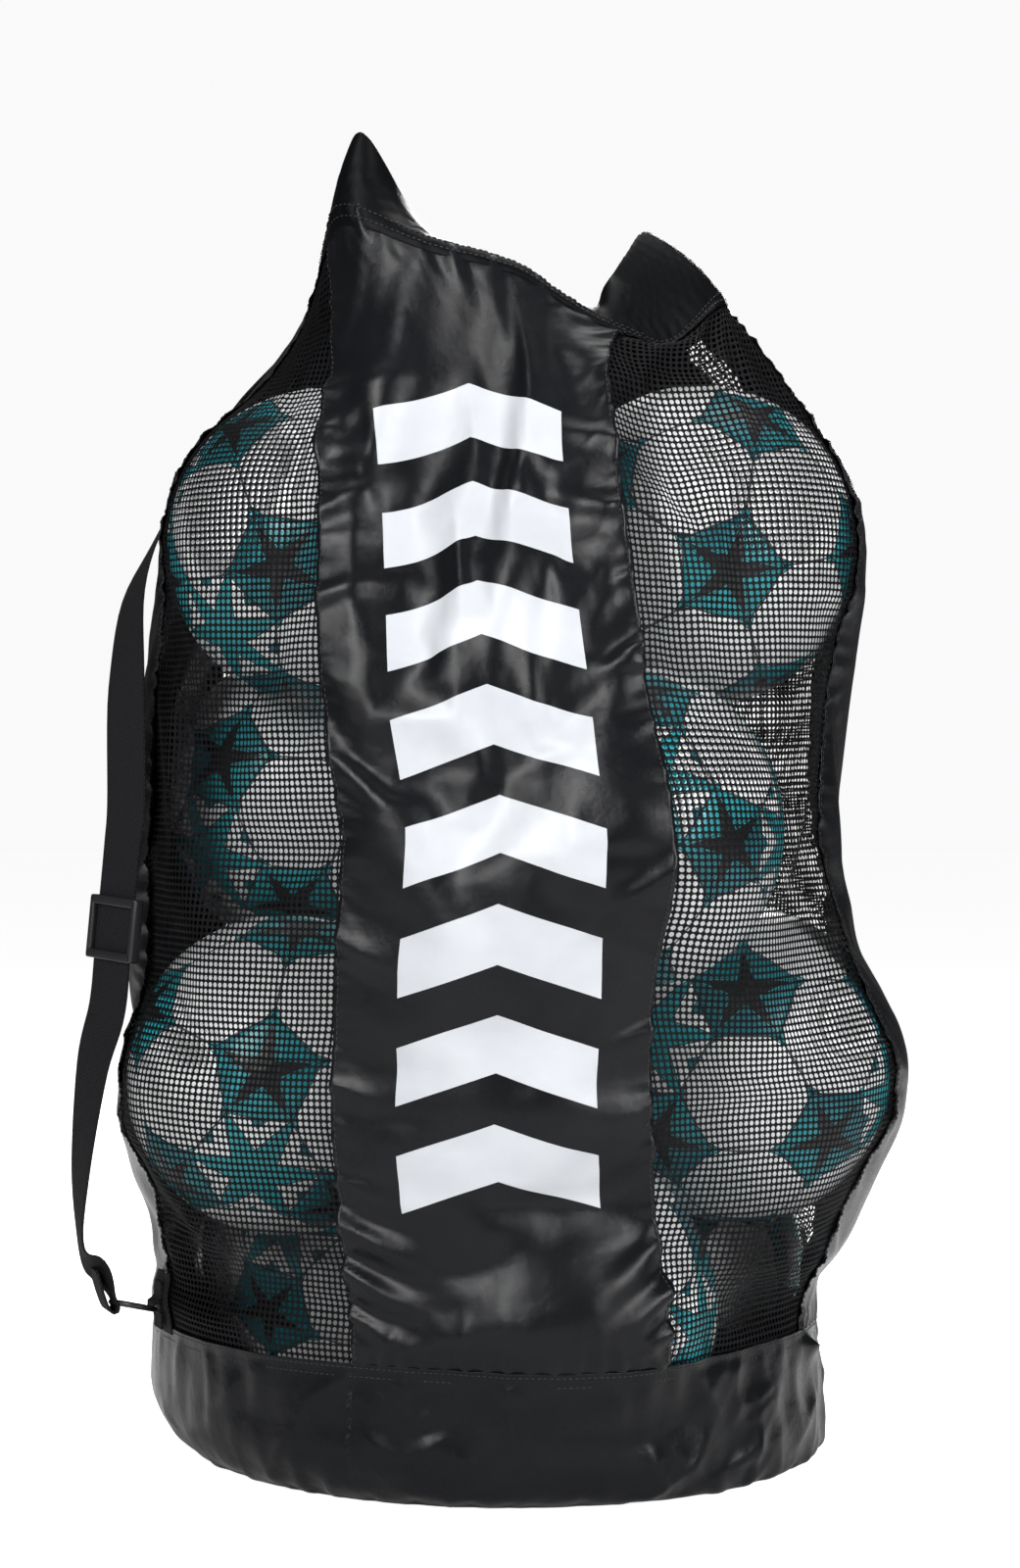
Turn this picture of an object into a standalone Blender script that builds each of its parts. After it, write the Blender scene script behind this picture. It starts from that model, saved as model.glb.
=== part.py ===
"""Tall mesh ball sack on its flat base, filled with eleven footballs.

Cloth, webbing and balls are closed solids in metres, +Z up, front of the sack facing -Y.
Angles round the sack are in degrees from the front, positive towards +X.
"""

import math

import bmesh
import bpy
import numpy as np
from mathutils import Matrix, Vector

# ---- driving dimensions, metres -------------------------------------------------
GAP = 0.0003            # clearance left between touching pieces
CLOTH = 0.0018          # thickness of the cloth solids
STANDOFF = 0.0068       # cloth's outer face above a ball
BALL_R = 0.110          # size 5 football
BALL_WALL = 0.0024
VALVE_R = 0.0030
BASE_R = 0.210          # flat base disc
SEAM_Z = 0.093          # seam between base band and panels
SHOULDER_Z = 0.740      # above this the slack cloth runs in to the mouth
WEB_W = 0.038           # shoulder strap webbing
WEB_T = 0.0018
RING_R = 0.0170         # round loop at the strap's lower end
RING_ROD = 0.0040
ANCHOR_Z = 0.107         # height of that loop, just above the band
STUD_R = 0.0050         # sewn point that holds the strap's upper end
STUD_H = 0.0055

# nominal ball centres, lowest layer first, settled apart below
BALL_CENTRES = {
    "1a": (-0.118, 0.110, 0.117), "1b": (0.028, -0.135, 0.117), "1c": (0.105, 0.115, 0.115),
    "2a": (-0.155, -0.055, 0.264), "2b": (0.158, -0.033, 0.270), "2c": (0.000, 0.155, 0.302),
    "3a": (-0.146, 0.085, 0.450), "3b": (0.072, -0.148, 0.436), "3c": (0.056, 0.148, 0.516),
    "4a": (-0.127, -0.050, 0.627), "4b": (0.130, -0.060, 0.627),
}

# slack cloth radius at each height, by the side of the sack it belongs to
PROFILE_Z = [0.000, 0.006, 0.030, 0.060, 0.093, 0.180, 0.260, 0.360, 0.450, 0.540, 0.630, 0.700, 0.740]
PROFILES = [
    (0, [0.213, 0.222, 0.230, 0.228, 0.222, 0.230, 0.238, 0.242, 0.244, 0.244, 0.236, 0.206, 0.178]),
    (90, [0.213, 0.216, 0.219, 0.214, 0.205, 0.244, 0.270, 0.248, 0.226, 0.232, 0.247, 0.233, 0.214]),
    (180, [0.213, 0.222, 0.230, 0.228, 0.226, 0.238, 0.246, 0.248, 0.248, 0.246, 0.232, 0.204, 0.176]),
    (-98, [0.213, 0.234, 0.248, 0.250, 0.250, 0.262, 0.270, 0.280, 0.284, 0.274, 0.248, 0.208, 0.178]),
    (-70, [0.213, 0.228, 0.240, 0.242, 0.240, 0.248, 0.254, 0.254, 0.254, 0.250, 0.238, 0.207, 0.178]),
]

# mouth seam round the sack: angle label, (x, y, z) of the seam, (x, y, z) run of the casing above it
MOUTH = [
    (-75, (-0.130, -0.030, 0.815), (0.014, 0.002, 0.044)),
    (-50, (-0.124, -0.085, 0.836), (0.014, 0.004, 0.044)),
    (-28, (-0.109, -0.118, 0.850), (0.012, 0.004, 0.048)),
    (-10, (-0.055, -0.134, 0.827), (0.006, 0.048, 0.002)),
    (4, (0.005, -0.140, 0.808), (0.000, 0.054, -0.010)),
    (13, (0.048, -0.138, 0.780), (0.002, 0.046, -0.002)),
    (18, (0.066, -0.134, 0.772), (-0.006, 0.020, 0.020)),
    (22, (0.079, -0.130, 0.766), (-0.012, 0.019, 0.036)),
    (33, (0.106, -0.116, 0.760), (-0.027, 0.014, 0.060)),
    (50, (0.140, -0.086, 0.794), (-0.046, 0.008, 0.046)),
    (70, (0.144, -0.048, 0.796), (-0.030, 0.008, 0.030)),
    (100, (0.140, 0.020, 0.794), (-0.036, 0.000, 0.024)),
    (140, (0.100, 0.092, 0.776), (-0.028, -0.026, 0.030)),
    (180, (0.000, 0.120, 0.774), (0.000, -0.040, 0.032)),
    (-140, (-0.096, 0.090, 0.786), (0.028, -0.026, 0.034)),
    (-105, (-0.128, 0.030, 0.800), (0.024, -0.006, 0.040)),
]

# panel seams: angle at each height in SEAM_HEIGHTS, going round from the back
SEAM_HEIGHTS = [0.09, 0.26, 0.44, 0.65, 0.71, 0.78]
SEAMS = {
    "front_left": [-26, -28.5, -26, -34, -40, -46],
    "front_right": [25.5, 22, 22, 19, 20, 22],
    "right_front": [66, 74, 63, 66, 66, 64],
    "right_back": [109, 109, 109, 111, 113, 114],
    "back_right": [152, 152, 150, 140, 128, 124],
    "back_left": [208, 208, 210, 216, 220, 222],
    "left_back": [238, 232, 232, 238, 245, 245],
    "left_front": [288, 288, 288, 288, 288, 288],
}
PANELS = [
    ("panel_front", "front_left", "front_right", 0),
    ("mesh_front_right", "front_right", "right_front", 0),
    ("panel_right", "right_front", "right_back", 0),
    ("mesh_back_right", "right_back", "back_right", 0),
    ("panel_back", "back_right", "back_left", 0),
    ("mesh_back_left", "back_left", "left_back", 0),
    ("panel_left", "left_back", "left_front", 0),
    ("mesh_front_left", "left_front", "front_left", 360),
]

COLUMNS = 72
BODY_ROWS = 36
TOP_ROWS = 8

# shoulder strap, top to bottom: centre of the webbing and the way its face looks
STRAP_UPPER = [
    ((-0.190, 0.073, 0.737), (-0.68, 0.36, 0.64)),
    ((-0.217, 0.052, 0.702), (-0.84, 0.16, 0.52)),
    ((-0.242, 0.014, 0.655), (-0.92, -0.16, 0.34)),
    ((-0.261, -0.037, 0.600), (-0.84, -0.52, 0.14)),
    ((-0.262, -0.078, 0.535), (-0.68, -0.73, 0.00)),
    ((-0.2605, -0.092, 0.452), (-0.66, -0.75, 0.00)),
    ((-0.2635, -0.092, 0.420), (-0.70, -0.71, 0.00)),
    ((-0.2695, -0.092, 0.356), (-0.70, -0.71, -0.06)),
]
STRAP_LOWER = [
    ((-0.2696, -0.0920, 0.3550), (-0.70, -0.71, -0.06)),
    ((-0.2735, -0.0920, 0.3130), (-0.70, -0.71, -0.06)),
    ((-0.284, -0.090, 0.272), (-0.78, -0.62, -0.08)),
    ((-0.293, -0.084, 0.200), (-0.90, -0.40, -0.06)),
    ((-0.293, -0.080, 0.150), (-0.96, -0.22, -0.16)),
]
STRAP_END_FACES = ((-0.80, -0.52, -0.30), (-0.90, -0.32, -0.30))
ADJUSTER_AT = (-0.2685, -0.0920, 0.3665)


# ---- helpers ---------------------------------------------------------------------
def clear_scene():
    for obj in list(bpy.data.objects):
        bpy.data.objects.remove(obj, do_unlink=True)


def material(name, colour, roughness, metallic=0.0):
    mat = bpy.data.materials.new(name)
    mat.use_nodes = True
    shader = mat.node_tree.nodes["Principled BSDF"]
    shader.inputs["Base Color"].default_value = (*colour, 1.0)
    shader.inputs["Roughness"].default_value = roughness
    shader.inputs["Metallic"].default_value = metallic
    return mat


def add_object(name, verts, faces, mat, smooth=True, at=(0, 0, 0), turn=None):
    """Mesh object whose closed surface is turned outwards."""
    mesh = bpy.data.meshes.new(name)
    mesh.from_pydata([tuple(v) for v in verts], [], faces)
    bm = bmesh.new()
    bm.from_mesh(mesh)
    bmesh.ops.recalc_face_normals(bm, faces=bm.faces[:])
    if bm.calc_volume(signed=True) < 0:
        bmesh.ops.reverse_faces(bm, faces=bm.faces[:])
    for face in bm.faces:
        face.smooth = smooth
    bm.to_mesh(mesh)
    bm.free()
    obj = bpy.data.objects.new(name, mesh)
    obj.location = at
    if turn is not None:
        obj.rotation_euler = turn
    mesh.materials.append(mat)
    bpy.context.scene.collection.objects.link(obj)
    return obj


def unit(vectors):
    return vectors / np.linalg.norm(vectors, axis=-1, keepdims=True)


def skin(outer, inner, closed):
    """Vertices and faces of the solid between two grids of points, rows by columns."""
    rows, cols = outer.shape[:2]
    verts = np.concatenate([outer.reshape(-1, 3), inner.reshape(-1, 3)])
    size = rows * cols
    faces = []
    spans = cols if closed else cols - 1
    for r in range(rows - 1):
        for c in range(spans):
            d = (c + 1) % cols
            quad = (r * cols + c, r * cols + d, (r + 1) * cols + d, (r + 1) * cols + c)
            faces.append(quad)
            faces.append(tuple(size + k for k in reversed(quad)))
    for r in (0, rows - 1):
        for c in range(spans):
            d = (c + 1) % cols
            faces.append((r * cols + c, size + r * cols + c, size + r * cols + d, r * cols + d))
    if not closed:
        for c in (0, cols - 1):
            for r in range(rows - 1):
                a, b = r * cols + c, (r + 1) * cols + c
                faces.append((a, b, size + b, size + a))
    return verts, faces


def periodic(angles, values, at):
    """Smooth closed curve through values at angles in degrees, read at the angles asked for."""
    order = np.argsort(np.mod(angles, 360))
    a = np.mod(np.array(angles, float), 360)[order]
    v = np.array(values, float)[order]
    a = np.concatenate([a[-2:] - 360, a, a[:2] + 360])
    v = np.concatenate([v[-2:], v, v[:2]])
    at = np.mod(at, 360)
    k = np.clip(np.searchsorted(a, at, side="right") - 1, 1, len(a) - 3)
    t = ((at - a[k]) / (a[k + 1] - a[k]))[..., None]
    slope = (v[2:] - v[:-2]) / (a[2:] - a[:-2])[:, None]
    width = (a[k + 1] - a[k])[..., None]
    m0, m1 = slope[k - 1] * width, slope[k] * width
    h00, h10 = 2 * t**3 - 3 * t**2 + 1, t**3 - 2 * t**2 + t
    h01, h11 = -2 * t**3 + 3 * t**2, t**3 - t**2
    return h00 * v[k] + h10 * m0 + h01 * v[k + 1] + h11 * m1


# ---- balls -----------------------------------------------------------------------
def settle(centres):
    """Push the nominal centres apart until no two balls touch."""
    c = np.array(list(centres.values()), float)
    apart = 2 * BALL_R + 2 * GAP
    for _ in range(400):
        for i in range(len(c)):
            for j in range(i):
                d = c[i] - c[j]
                gap = np.linalg.norm(d)
                if gap < apart:
                    push = d / gap * (apart - gap) / 2
                    c[i] += push
                    c[j] -= push
        reach = np.linalg.norm(c[:, :2], axis=1)
        c[:, :2] *= np.minimum(1, 0.166 / reach)[:, None]
        c[:, 2] = np.maximum(c[:, 2], BALL_R + CLOTH + 3 * GAP)
    return c


def make_ball(name, centre, turn, mat):
    """Hollow ball with its valve hole at the top of its own axis."""
    sides, bands = 14, 8
    verts, faces = [], []
    for radius in (BALL_R, BALL_R - BALL_WALL):
        first = math.asin(VALVE_R / radius)
        for b in range(bands):
            polar = first + (math.pi - first) * b / bands
            for s in range(sides):
                a = 2 * math.pi * s / sides
                ring = radius * math.sin(polar)
                verts.append((ring * math.cos(a), ring * math.sin(a), radius * math.cos(polar)))
        verts.append((0, 0, -radius))
    shell = sides * bands + 1
    for k in (0, shell):
        for b in range(bands - 1):
            for s in range(sides):
                t = (s + 1) % sides
                faces.append((k + b * sides + s, k + b * sides + t,
                              k + (b + 1) * sides + t, k + (b + 1) * sides + s))
        for s in range(sides):
            last = k + (bands - 1) * sides
            faces.append((last + s, last + (s + 1) % sides, k + shell - 1))
    for s in range(sides):
        t = (s + 1) % sides
        faces.append((s, t, shell + t, shell + s))
    add_object(name, verts, faces, mat, at=tuple(centre), turn=turn)


# ---- the cloth's surface ---------------------------------------------------------
def slack_radius(theta, z):
    """Radius the cloth would hang at with no ball against it."""
    table = [[np.interp(zz, PROFILE_Z, row) for _, row in PROFILES] for zz in z]
    angles = [a for a, _ in PROFILES]
    return np.array([periodic(angles, np.array(row)[:, None], theta)[:, 0] for row in table])


def ball_radius(theta, z, centres):
    """Radius that just clears the balls, 0 where a ray meets none."""
    ux, uy = np.sin(np.radians(theta)), -np.cos(np.radians(theta))
    out = np.zeros((len(z), len(theta)))
    for cx, cy, cz in centres:
        along = (ux * cx + uy * cy)[None, :]
        cut = (BALL_R + STANDOFF) ** 2 - (z[:, None] - cz) ** 2
        inside = cut - (cx * cx + cy * cy) + along**2
        hit = np.where((cut > 0) & (inside > 0), along + np.sqrt(np.maximum(inside, 0)), 0)
        out = np.maximum(out, hit)
    return out


def cloth_grid(centres):
    """Outer face of the cloth from the base edge to the mouth seam, rows by columns of points."""
    theta = np.arange(COLUMNS) * 360 / COLUMNS
    z = np.interp(np.linspace(0, 1, BODY_ROWS), [0, 0.05, 0.20, 1], [0, 0.012, SEAM_Z, SHOULDER_Z])
    slack = slack_radius(theta, z)
    held = ball_radius(theta, z, centres)
    r = np.maximum(slack, held)
    for _ in range(60):
        around = (np.roll(r, 1, 1) + np.roll(r, -1, 1)) / 2
        along = r.copy()
        along[1:-1] = (r[:-2] + r[2:]) / 2
        mean = 0.5 * around + 0.5 * along
        r[6:] = np.maximum(held, 0.88 * mean + 0.12 * slack)[6:]
    x, y = r * np.sin(np.radians(theta)), -r * np.cos(np.radians(theta))
    body = np.stack([x, y, np.repeat(z[:, None], COLUMNS, 1)], axis=2)
    seam, _ = mouth_curves(theta)
    shoulder = body[-1]
    lean = body[-1] - body[-3]
    top = []
    for t in np.linspace(0, 1, TOP_ROWS + 1)[1:]:
        bow = (1 - t) ** 2 * t * 1.6
        top.append(clear_of_balls(shoulder * (1 - t) + seam * t + lean * bow, centres))
    return np.concatenate([body, np.array(top)])


def clear_of_balls(points, centres):
    """Points moved straight out of any ball they are inside."""
    points = points.copy()
    for centre in centres:
        away = points - centre
        far = np.linalg.norm(away, axis=1, keepdims=True)
        points = np.where(far < BALL_R + STANDOFF, centre + away / far * (BALL_R + STANDOFF), points)
    return points


def mouth_curves(theta):
    """Mouth seam and the casing's run above it, at each angle label."""
    angles = [row[0] for row in MOUTH]
    return (periodic(angles, [row[1] for row in MOUTH], theta),
            periodic(angles, [row[2] for row in MOUTH], theta))


def row_at_height(grid, z):
    """Row number, with its fraction, of a height on the body part of the grid."""
    return float(np.interp(z, grid[:BODY_ROWS, 0, 2], np.arange(BODY_ROWS)))


def sample(grid, row, theta):
    """Point of the surface at row numbers and angles, both arrays of one shape."""
    col = np.mod(theta, 360) / 360 * COLUMNS
    c0 = np.floor(col).astype(int)
    fc = (col - c0)[..., None]
    row = np.clip(row, 0, len(grid) - 1.000001)
    r0 = np.floor(row).astype(int)
    fr = (row - r0)[..., None]
    c0, c1 = c0 % COLUMNS, (c0 + 1) % COLUMNS
    low = grid[r0, c0] * (1 - fc) + grid[r0, c1] * fc
    high = grid[r0 + 1, c0] * (1 - fc) + grid[r0 + 1, c1] * fc
    return low * (1 - fr) + high * fr


def outward(grid, row, theta):
    """Outward unit normal of the surface."""
    across = sample(grid, row, theta + 4) - sample(grid, row, theta - 4)
    upward = sample(grid, row + 0.7, theta) - sample(grid, row - 0.7, theta)
    return unit(np.cross(across, upward))


def cloth_piece(name, grid, rows, theta, mat, closed=False, lift=0.0, thick=CLOTH):
    """Cloth solid on part of the surface, its outer face lifted off it."""
    points = sample(grid, rows, theta)
    normal = outward(grid, rows, theta)
    outer = points + normal * lift
    inner = points + normal * (lift - thick)
    verts, faces = skin(outer, inner, closed)
    return add_object(name, verts, faces, mat)


# ---- sack parts ------------------------------------------------------------------
def seam_angle(name, height):
    return np.interp(height, SEAM_HEIGHTS, SEAMS[name])


def make_panel(name, start, end, wrap, grid, mat):
    """One long gore between two seams, from the base band to the mouth seam."""
    low = row_at_height(grid, SEAM_Z) + 0.02
    rows = np.concatenate([np.linspace(low, BODY_ROWS - 1, 17),
                           np.linspace(BODY_ROWS - 1, len(grid) - 1.12, 5)[1:]])
    height = sample(grid, rows, np.zeros_like(rows))[:, 2]
    height[rows > BODY_ROWS - 1] = SEAM_HEIGHTS[-1]
    edge_gap = 0.05
    a = seam_angle(start, height) + edge_gap
    b = seam_angle(end, height) + wrap - edge_gap
    count = 9
    share = np.linspace(0, 1, count)
    theta = a[:, None] * (1 - share) + b[:, None] * share
    cloth_piece(name, grid, np.repeat(rows[:, None], count, 1), theta, mat)


def make_base(grid, band_mat, disc_mat):
    sides = 48
    theta = np.arange(sides) * 360 / sides
    rows = np.array([0.0, 0.9, 1.8, 3.2, 5.2, row_at_height(grid, SEAM_Z) - 0.02])
    cloth_piece("base_band", grid, np.repeat(rows[:, None], sides, 1),
                np.repeat(theta[None, :], len(rows), 0), band_mat, closed=True)
    ring = np.radians(theta)
    verts = [(BASE_R * math.sin(a), -BASE_R * math.cos(a), z) for z in (0, CLOTH) for a in ring]
    faces = [tuple(range(sides)), tuple(range(2 * sides - 1, sides - 1, -1))]
    faces += [(s, (s + 1) % sides, sides + (s + 1) % sides, sides + s) for s in range(sides)]
    add_object("base_disc", verts, faces, disc_mat, smooth=False)


def casing_point(theta, share):
    """Middle of the casing cloth at angle labels and shares of its height."""
    seam, run = mouth_curves(theta)
    lift = share[:, None, None] * run[None]
    sag = (share * (1 - share))[:, None, None] * np.array([0, 0, 0.016])
    return seam[None] + lift + sag


def make_casing(mat):
    """Drawcord hem: a band of double cloth standing on the mouth seam."""
    sides = 60
    theta = np.arange(sides) * 360 / sides
    share = np.array([0.050, 0.35, 0.70, 1.0])
    middle = casing_point(theta, share)
    across = np.roll(middle, -1, 1) - np.roll(middle, 1, 1)
    upward = np.gradient(middle, axis=0)
    normal = unit(np.cross(across, upward))
    verts, faces = skin(middle, middle - normal * CLOTH, True)
    add_object("mouth_casing", verts, faces, mat)


def ring_solid(name, outer_r, inner_r, depth, at, axis, mat, sides=20):
    """Flat ring about an axis."""
    verts, faces = [], []
    for k in range(sides):
        a = 2 * math.pi * k / sides
        for radius, z in ((outer_r, 0), (outer_r, depth), (inner_r, depth), (inner_r, 0)):
            verts.append((radius * math.cos(a), radius * math.sin(a), z))
    for k in range(sides):
        n = (k + 1) % sides
        for m in range(4):
            p = (m + 1) % 4
            faces.append((4 * k + m, 4 * n + m, 4 * n + p, 4 * k + p))
    turn = Vector(axis).to_track_quat("Z", "Y").to_euler()
    add_object(name, verts, faces, mat, at=at, turn=turn, smooth=False)


def make_eyelets(mat):
    """Two drawcord eyelets on the outside of the casing at the back."""
    for name, angle in (("eyelet_left", 186.0), ("eyelet_right", 174.0)):
        theta = np.array([angle - 2, angle, angle + 2])
        share = np.array([0.40, 0.50, 0.60])
        patch = casing_point(theta, share)
        normal = unit(np.cross(patch[1, 2] - patch[1, 0], patch[2, 1] - patch[0, 1]))
        at = patch[1, 1] + normal * 0.0012
        ring_solid(name, 0.0060, 0.0032, 0.0012, tuple(at), tuple(normal), mat)


# ---- strap -----------------------------------------------------------------------
def spline(points, steps):
    """Smooth open curve through points, with steps samples per span."""
    p = np.array(points, float)
    p = np.concatenate([[2 * p[0] - p[1]], p, [2 * p[-1] - p[-2]]])
    out = []
    for k in range(1, len(p) - 2):
        a, b, c, d = p[k - 1:k + 3]
        last = k == len(p) - 3
        for t in np.linspace(0, 1, steps + 1)[: steps + (1 if last else 0)]:
            out.append(0.5 * (2 * b + (c - a) * t + (2 * a - 5 * b + 4 * c - d) * t**2
                              + (3 * b - a - 3 * c + d) * t**3))
    return np.array(out)


def webbing(name, path, steps, mat):
    """Flat webbing along a path of centres and facing directions."""
    centre = spline([p for p, _ in path], steps)
    face = unit(spline([f for _, f in path], steps))
    tangent = unit(np.gradient(centre, axis=0))
    side = unit(np.cross(tangent, face))
    face = unit(np.cross(side, tangent))
    across = np.array([-0.5, 0.5]) * WEB_W
    outer = centre[:, None] + side[:, None] * across[None, :, None] + face[:, None] * WEB_T / 2
    inner = outer - face[:, None] * WEB_T
    verts, faces = skin(outer, inner, False)
    add_object(name, verts, faces, mat)


def strap_frame(path, k):
    """Axes of the webbing at control point k: side, along the strap upwards, facing out."""
    along = unit(np.array(path[k - 1][0]) - np.array(path[k][0]))
    face = np.array(path[k][1], float)
    side = unit(np.cross(along, face))
    face = unit(np.cross(side, along))
    return side, along, face


def box_verts(low, high):
    return [(x, y, z) for x in (low[0], high[0]) for y in (low[1], high[1]) for z in (low[2], high[2])]


def make_adjuster(mat):
    """Ladder-lock slide: two side rails, two outer bars in front, one middle bar behind."""
    side, along, face = strap_frame(STRAP_UPPER, 7)
    half_w, half_h = 0.0245, 0.0215
    slot = WEB_W / 2 + 0.0008
    front = WEB_T / 2 + 0.0010
    bars = [
        ((-half_w, -half_h, -0.0042), (-slot, half_h, 0.0042)),
        ((slot, -half_h, -0.0042), (half_w, half_h, 0.0042)),
        ((-half_w, half_h - 0.0055, front), (half_w, half_h, 0.0042)),
        ((-half_w, -half_h, front), (half_w, -half_h + 0.0055, 0.0042)),
        ((-half_w, -0.0035, -0.0042), (half_w, 0.0035, -front)),
    ]
    turn = Matrix((side, along, face)).transposed().to_euler()
    obj = None
    for low, high in bars:
        box = add_object("bar", box_verts(low, high), BOX_FACES, mat, smooth=False)
        if obj is None:
            obj = box
            continue
        cut = obj.modifiers.new("join", "BOOLEAN")
        cut.operation = "UNION"
        cut.solver = "EXACT"
        cut.object = box
        bpy.context.view_layer.update()
        joined = bpy.data.meshes.new_from_object(obj.evaluated_get(bpy.context.evaluated_depsgraph_get()))
        obj.modifiers.clear()
        obj.data = joined
        bpy.data.objects.remove(box, do_unlink=True)
    obj.name = "strap_adjuster"
    obj.data.name = "strap_adjuster"
    obj.location = ADJUSTER_AT
    obj.rotation_euler = turn


BOX_FACES = [(0, 1, 3, 2), (4, 6, 7, 5), (0, 4, 5, 1), (2, 3, 7, 6), (0, 2, 6, 4), (1, 5, 7, 3)]


def anchor_points(grid):
    """Where the strap's ends are held: the sewn stud above, the ring's centre below."""
    top = (np.array([BODY_ROWS + 3.0]), np.array([-115.0]))
    top_normal = outward(grid, *top)[0]
    stud = sample(grid, *top)[0] + top_normal * (WEB_T + 0.0014 + GAP)
    low = (np.array([row_at_height(grid, ANCHOR_Z)]), np.array([-75.0]))
    low_normal = outward(grid, *low)[0]
    level = unit(low_normal * np.array([1, 1, 0]))
    ring = sample(grid, *low)[0] + level * (RING_R + 0.0062)
    return stud, top_normal, ring, level


def make_strap(grid, mat):
    stud, top_normal, ring, level = anchor_points(grid)
    start = stud + top_normal * (STUD_H + 0.0026)
    first = np.array(STRAP_UPPER[0][0])
    back = unit(start - first)
    path = [(start + back * 0.012, top_normal), (start, top_normal)]
    webbing("strap_upper", path + STRAP_UPPER, 3, mat)
    end = ring + level * (RING_R + 0.0012)
    turn_in = end + level * 0.009 + np.array([0, 0, 0.022])
    tail = [(turn_in, STRAP_END_FACES[0]), (end + np.array([0, 0, 0.003]), STRAP_END_FACES[1])]
    webbing("strap_lower", STRAP_LOWER + tail, 4, mat)


def patch(name, grid, rows, angles, mat):
    """Webbing patch sewn flat on the cloth."""
    rows = np.repeat(np.linspace(*rows, 4)[:, None], 4, 1)
    theta = np.repeat(np.linspace(*angles, 4)[None], 4, 0)
    cloth_piece(name, grid, rows, theta, mat, lift=WEB_T + 0.0014, thick=WEB_T)


def make_anchors(grid, web_mat, ring_mat):
    """Sewn patches that the strap's ends leave from, the stud above and the ring below."""
    patch("strap_anchor_upper", grid, (BODY_ROWS + 1.4, BODY_ROWS + 4.6), (-121, -109), web_mat)
    low = row_at_height(grid, ANCHOR_Z)
    patch("strap_anchor_lower", grid, (low - 1.6, low + 0.6), (-79.5, -70.5), web_mat)
    stud, top_normal, ring, _ = anchor_points(grid)
    ring_solid("strap_stud", STUD_R, 0.0015, STUD_H, tuple(stud), tuple(top_normal), ring_mat, 16)
    axis = unit(stud - ring)
    ring_solid("strap_ring", RING_R, RING_R - RING_ROD, RING_ROD,
               tuple(ring - axis * RING_ROD / 2), tuple(axis), ring_mat, 20)


# ---- build -----------------------------------------------------------------------
def main():
    clear_scene()
    nylon = {}
    for name in ("panel_front", "panel_right", "panel_back", "panel_left"):
        nylon[name] = material(name, (0.020, 0.020, 0.023), 0.48)
    for name in ("mesh_front_right", "mesh_back_right", "mesh_back_left", "mesh_front_left"):
        nylon[name] = material(name, (0.014, 0.014, 0.015), 0.85)
    centres = settle(BALL_CENTRES)
    grid = cloth_grid(centres)
    for name, start, end, wrap in PANELS:
        make_panel(name, start, end, wrap, grid, nylon[name])
    make_base(grid, material("base_band", (0.020, 0.020, 0.023), 0.50),
              material("base_disc", (0.016, 0.016, 0.018), 0.60))
    make_casing(material("mouth_casing", (0.018, 0.018, 0.021), 0.50))
    make_eyelets(material("eyelet", (0.030, 0.030, 0.032), 0.35, 1.0))
    ball_mat = material("ball", (0.78, 0.79, 0.80), 0.35)
    for k, (place, centre) in enumerate(zip(BALL_CENTRES, centres)):
        make_ball(f"ball_{place}", centre, (0.7 * k, 0.4 + 0.9 * k, 0.5 * k), ball_mat)
    web = material("strap_webbing", (0.012, 0.012, 0.013), 0.80)
    make_strap(grid, web)
    plastic = material("strap_adjuster", (0.014, 0.014, 0.015), 0.40)
    make_adjuster(plastic)
    make_anchors(grid, web, plastic)


main()
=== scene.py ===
"""Looks of the mesh ball sack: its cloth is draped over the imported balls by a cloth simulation,
then cut into nylon gores, mesh gores with real holes, a base band and a mouth hem."""

import math

import bmesh
import bpy
import numpy as np
from mathutils import Matrix, Vector


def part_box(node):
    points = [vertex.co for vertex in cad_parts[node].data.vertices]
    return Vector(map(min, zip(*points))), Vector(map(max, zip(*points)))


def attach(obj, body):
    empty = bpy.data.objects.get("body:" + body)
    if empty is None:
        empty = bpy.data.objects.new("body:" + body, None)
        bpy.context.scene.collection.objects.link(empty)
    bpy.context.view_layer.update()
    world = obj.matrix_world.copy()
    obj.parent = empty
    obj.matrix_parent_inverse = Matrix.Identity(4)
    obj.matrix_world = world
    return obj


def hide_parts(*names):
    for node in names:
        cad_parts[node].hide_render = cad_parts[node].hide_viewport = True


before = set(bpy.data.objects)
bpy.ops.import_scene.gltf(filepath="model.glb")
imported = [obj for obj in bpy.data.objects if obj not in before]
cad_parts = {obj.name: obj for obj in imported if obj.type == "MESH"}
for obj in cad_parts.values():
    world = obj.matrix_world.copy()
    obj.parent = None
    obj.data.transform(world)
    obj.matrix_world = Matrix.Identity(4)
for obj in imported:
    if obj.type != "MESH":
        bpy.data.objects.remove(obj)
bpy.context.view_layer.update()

# ---- driving dimensions, metres -------------------------------------------------
BALL_R = 0.110
STANDOFF = 0.0038       # draped cloth above a ball
BASE_R = 0.210
SEAM_Z = 0.093          # seam between base band and gores
SHOULDER_Z = 0.740      # above this the cloth runs in to the mouth
MESH_PITCH = 0.0044     # one hole of the mesh to the next
MESH_HOLE_R = 0.00165
MESH_DEPTH = 0.0009     # mesh lies this far inside the nylon's face
LAP = 0.0055            # mesh runs this far under a nylon edge
NYLON = 0.0005
HEM_T = 0.0030          # the mouth hem's two layers with the cord's tunnel between
HEM_HIGH = 0.055
SEAM_ALLOWANCE = 0.0070
STITCH_LONG = 0.0030
STITCH_STEP = 0.0040
WEB_W = 0.038
WEB_T = 0.0018

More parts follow.
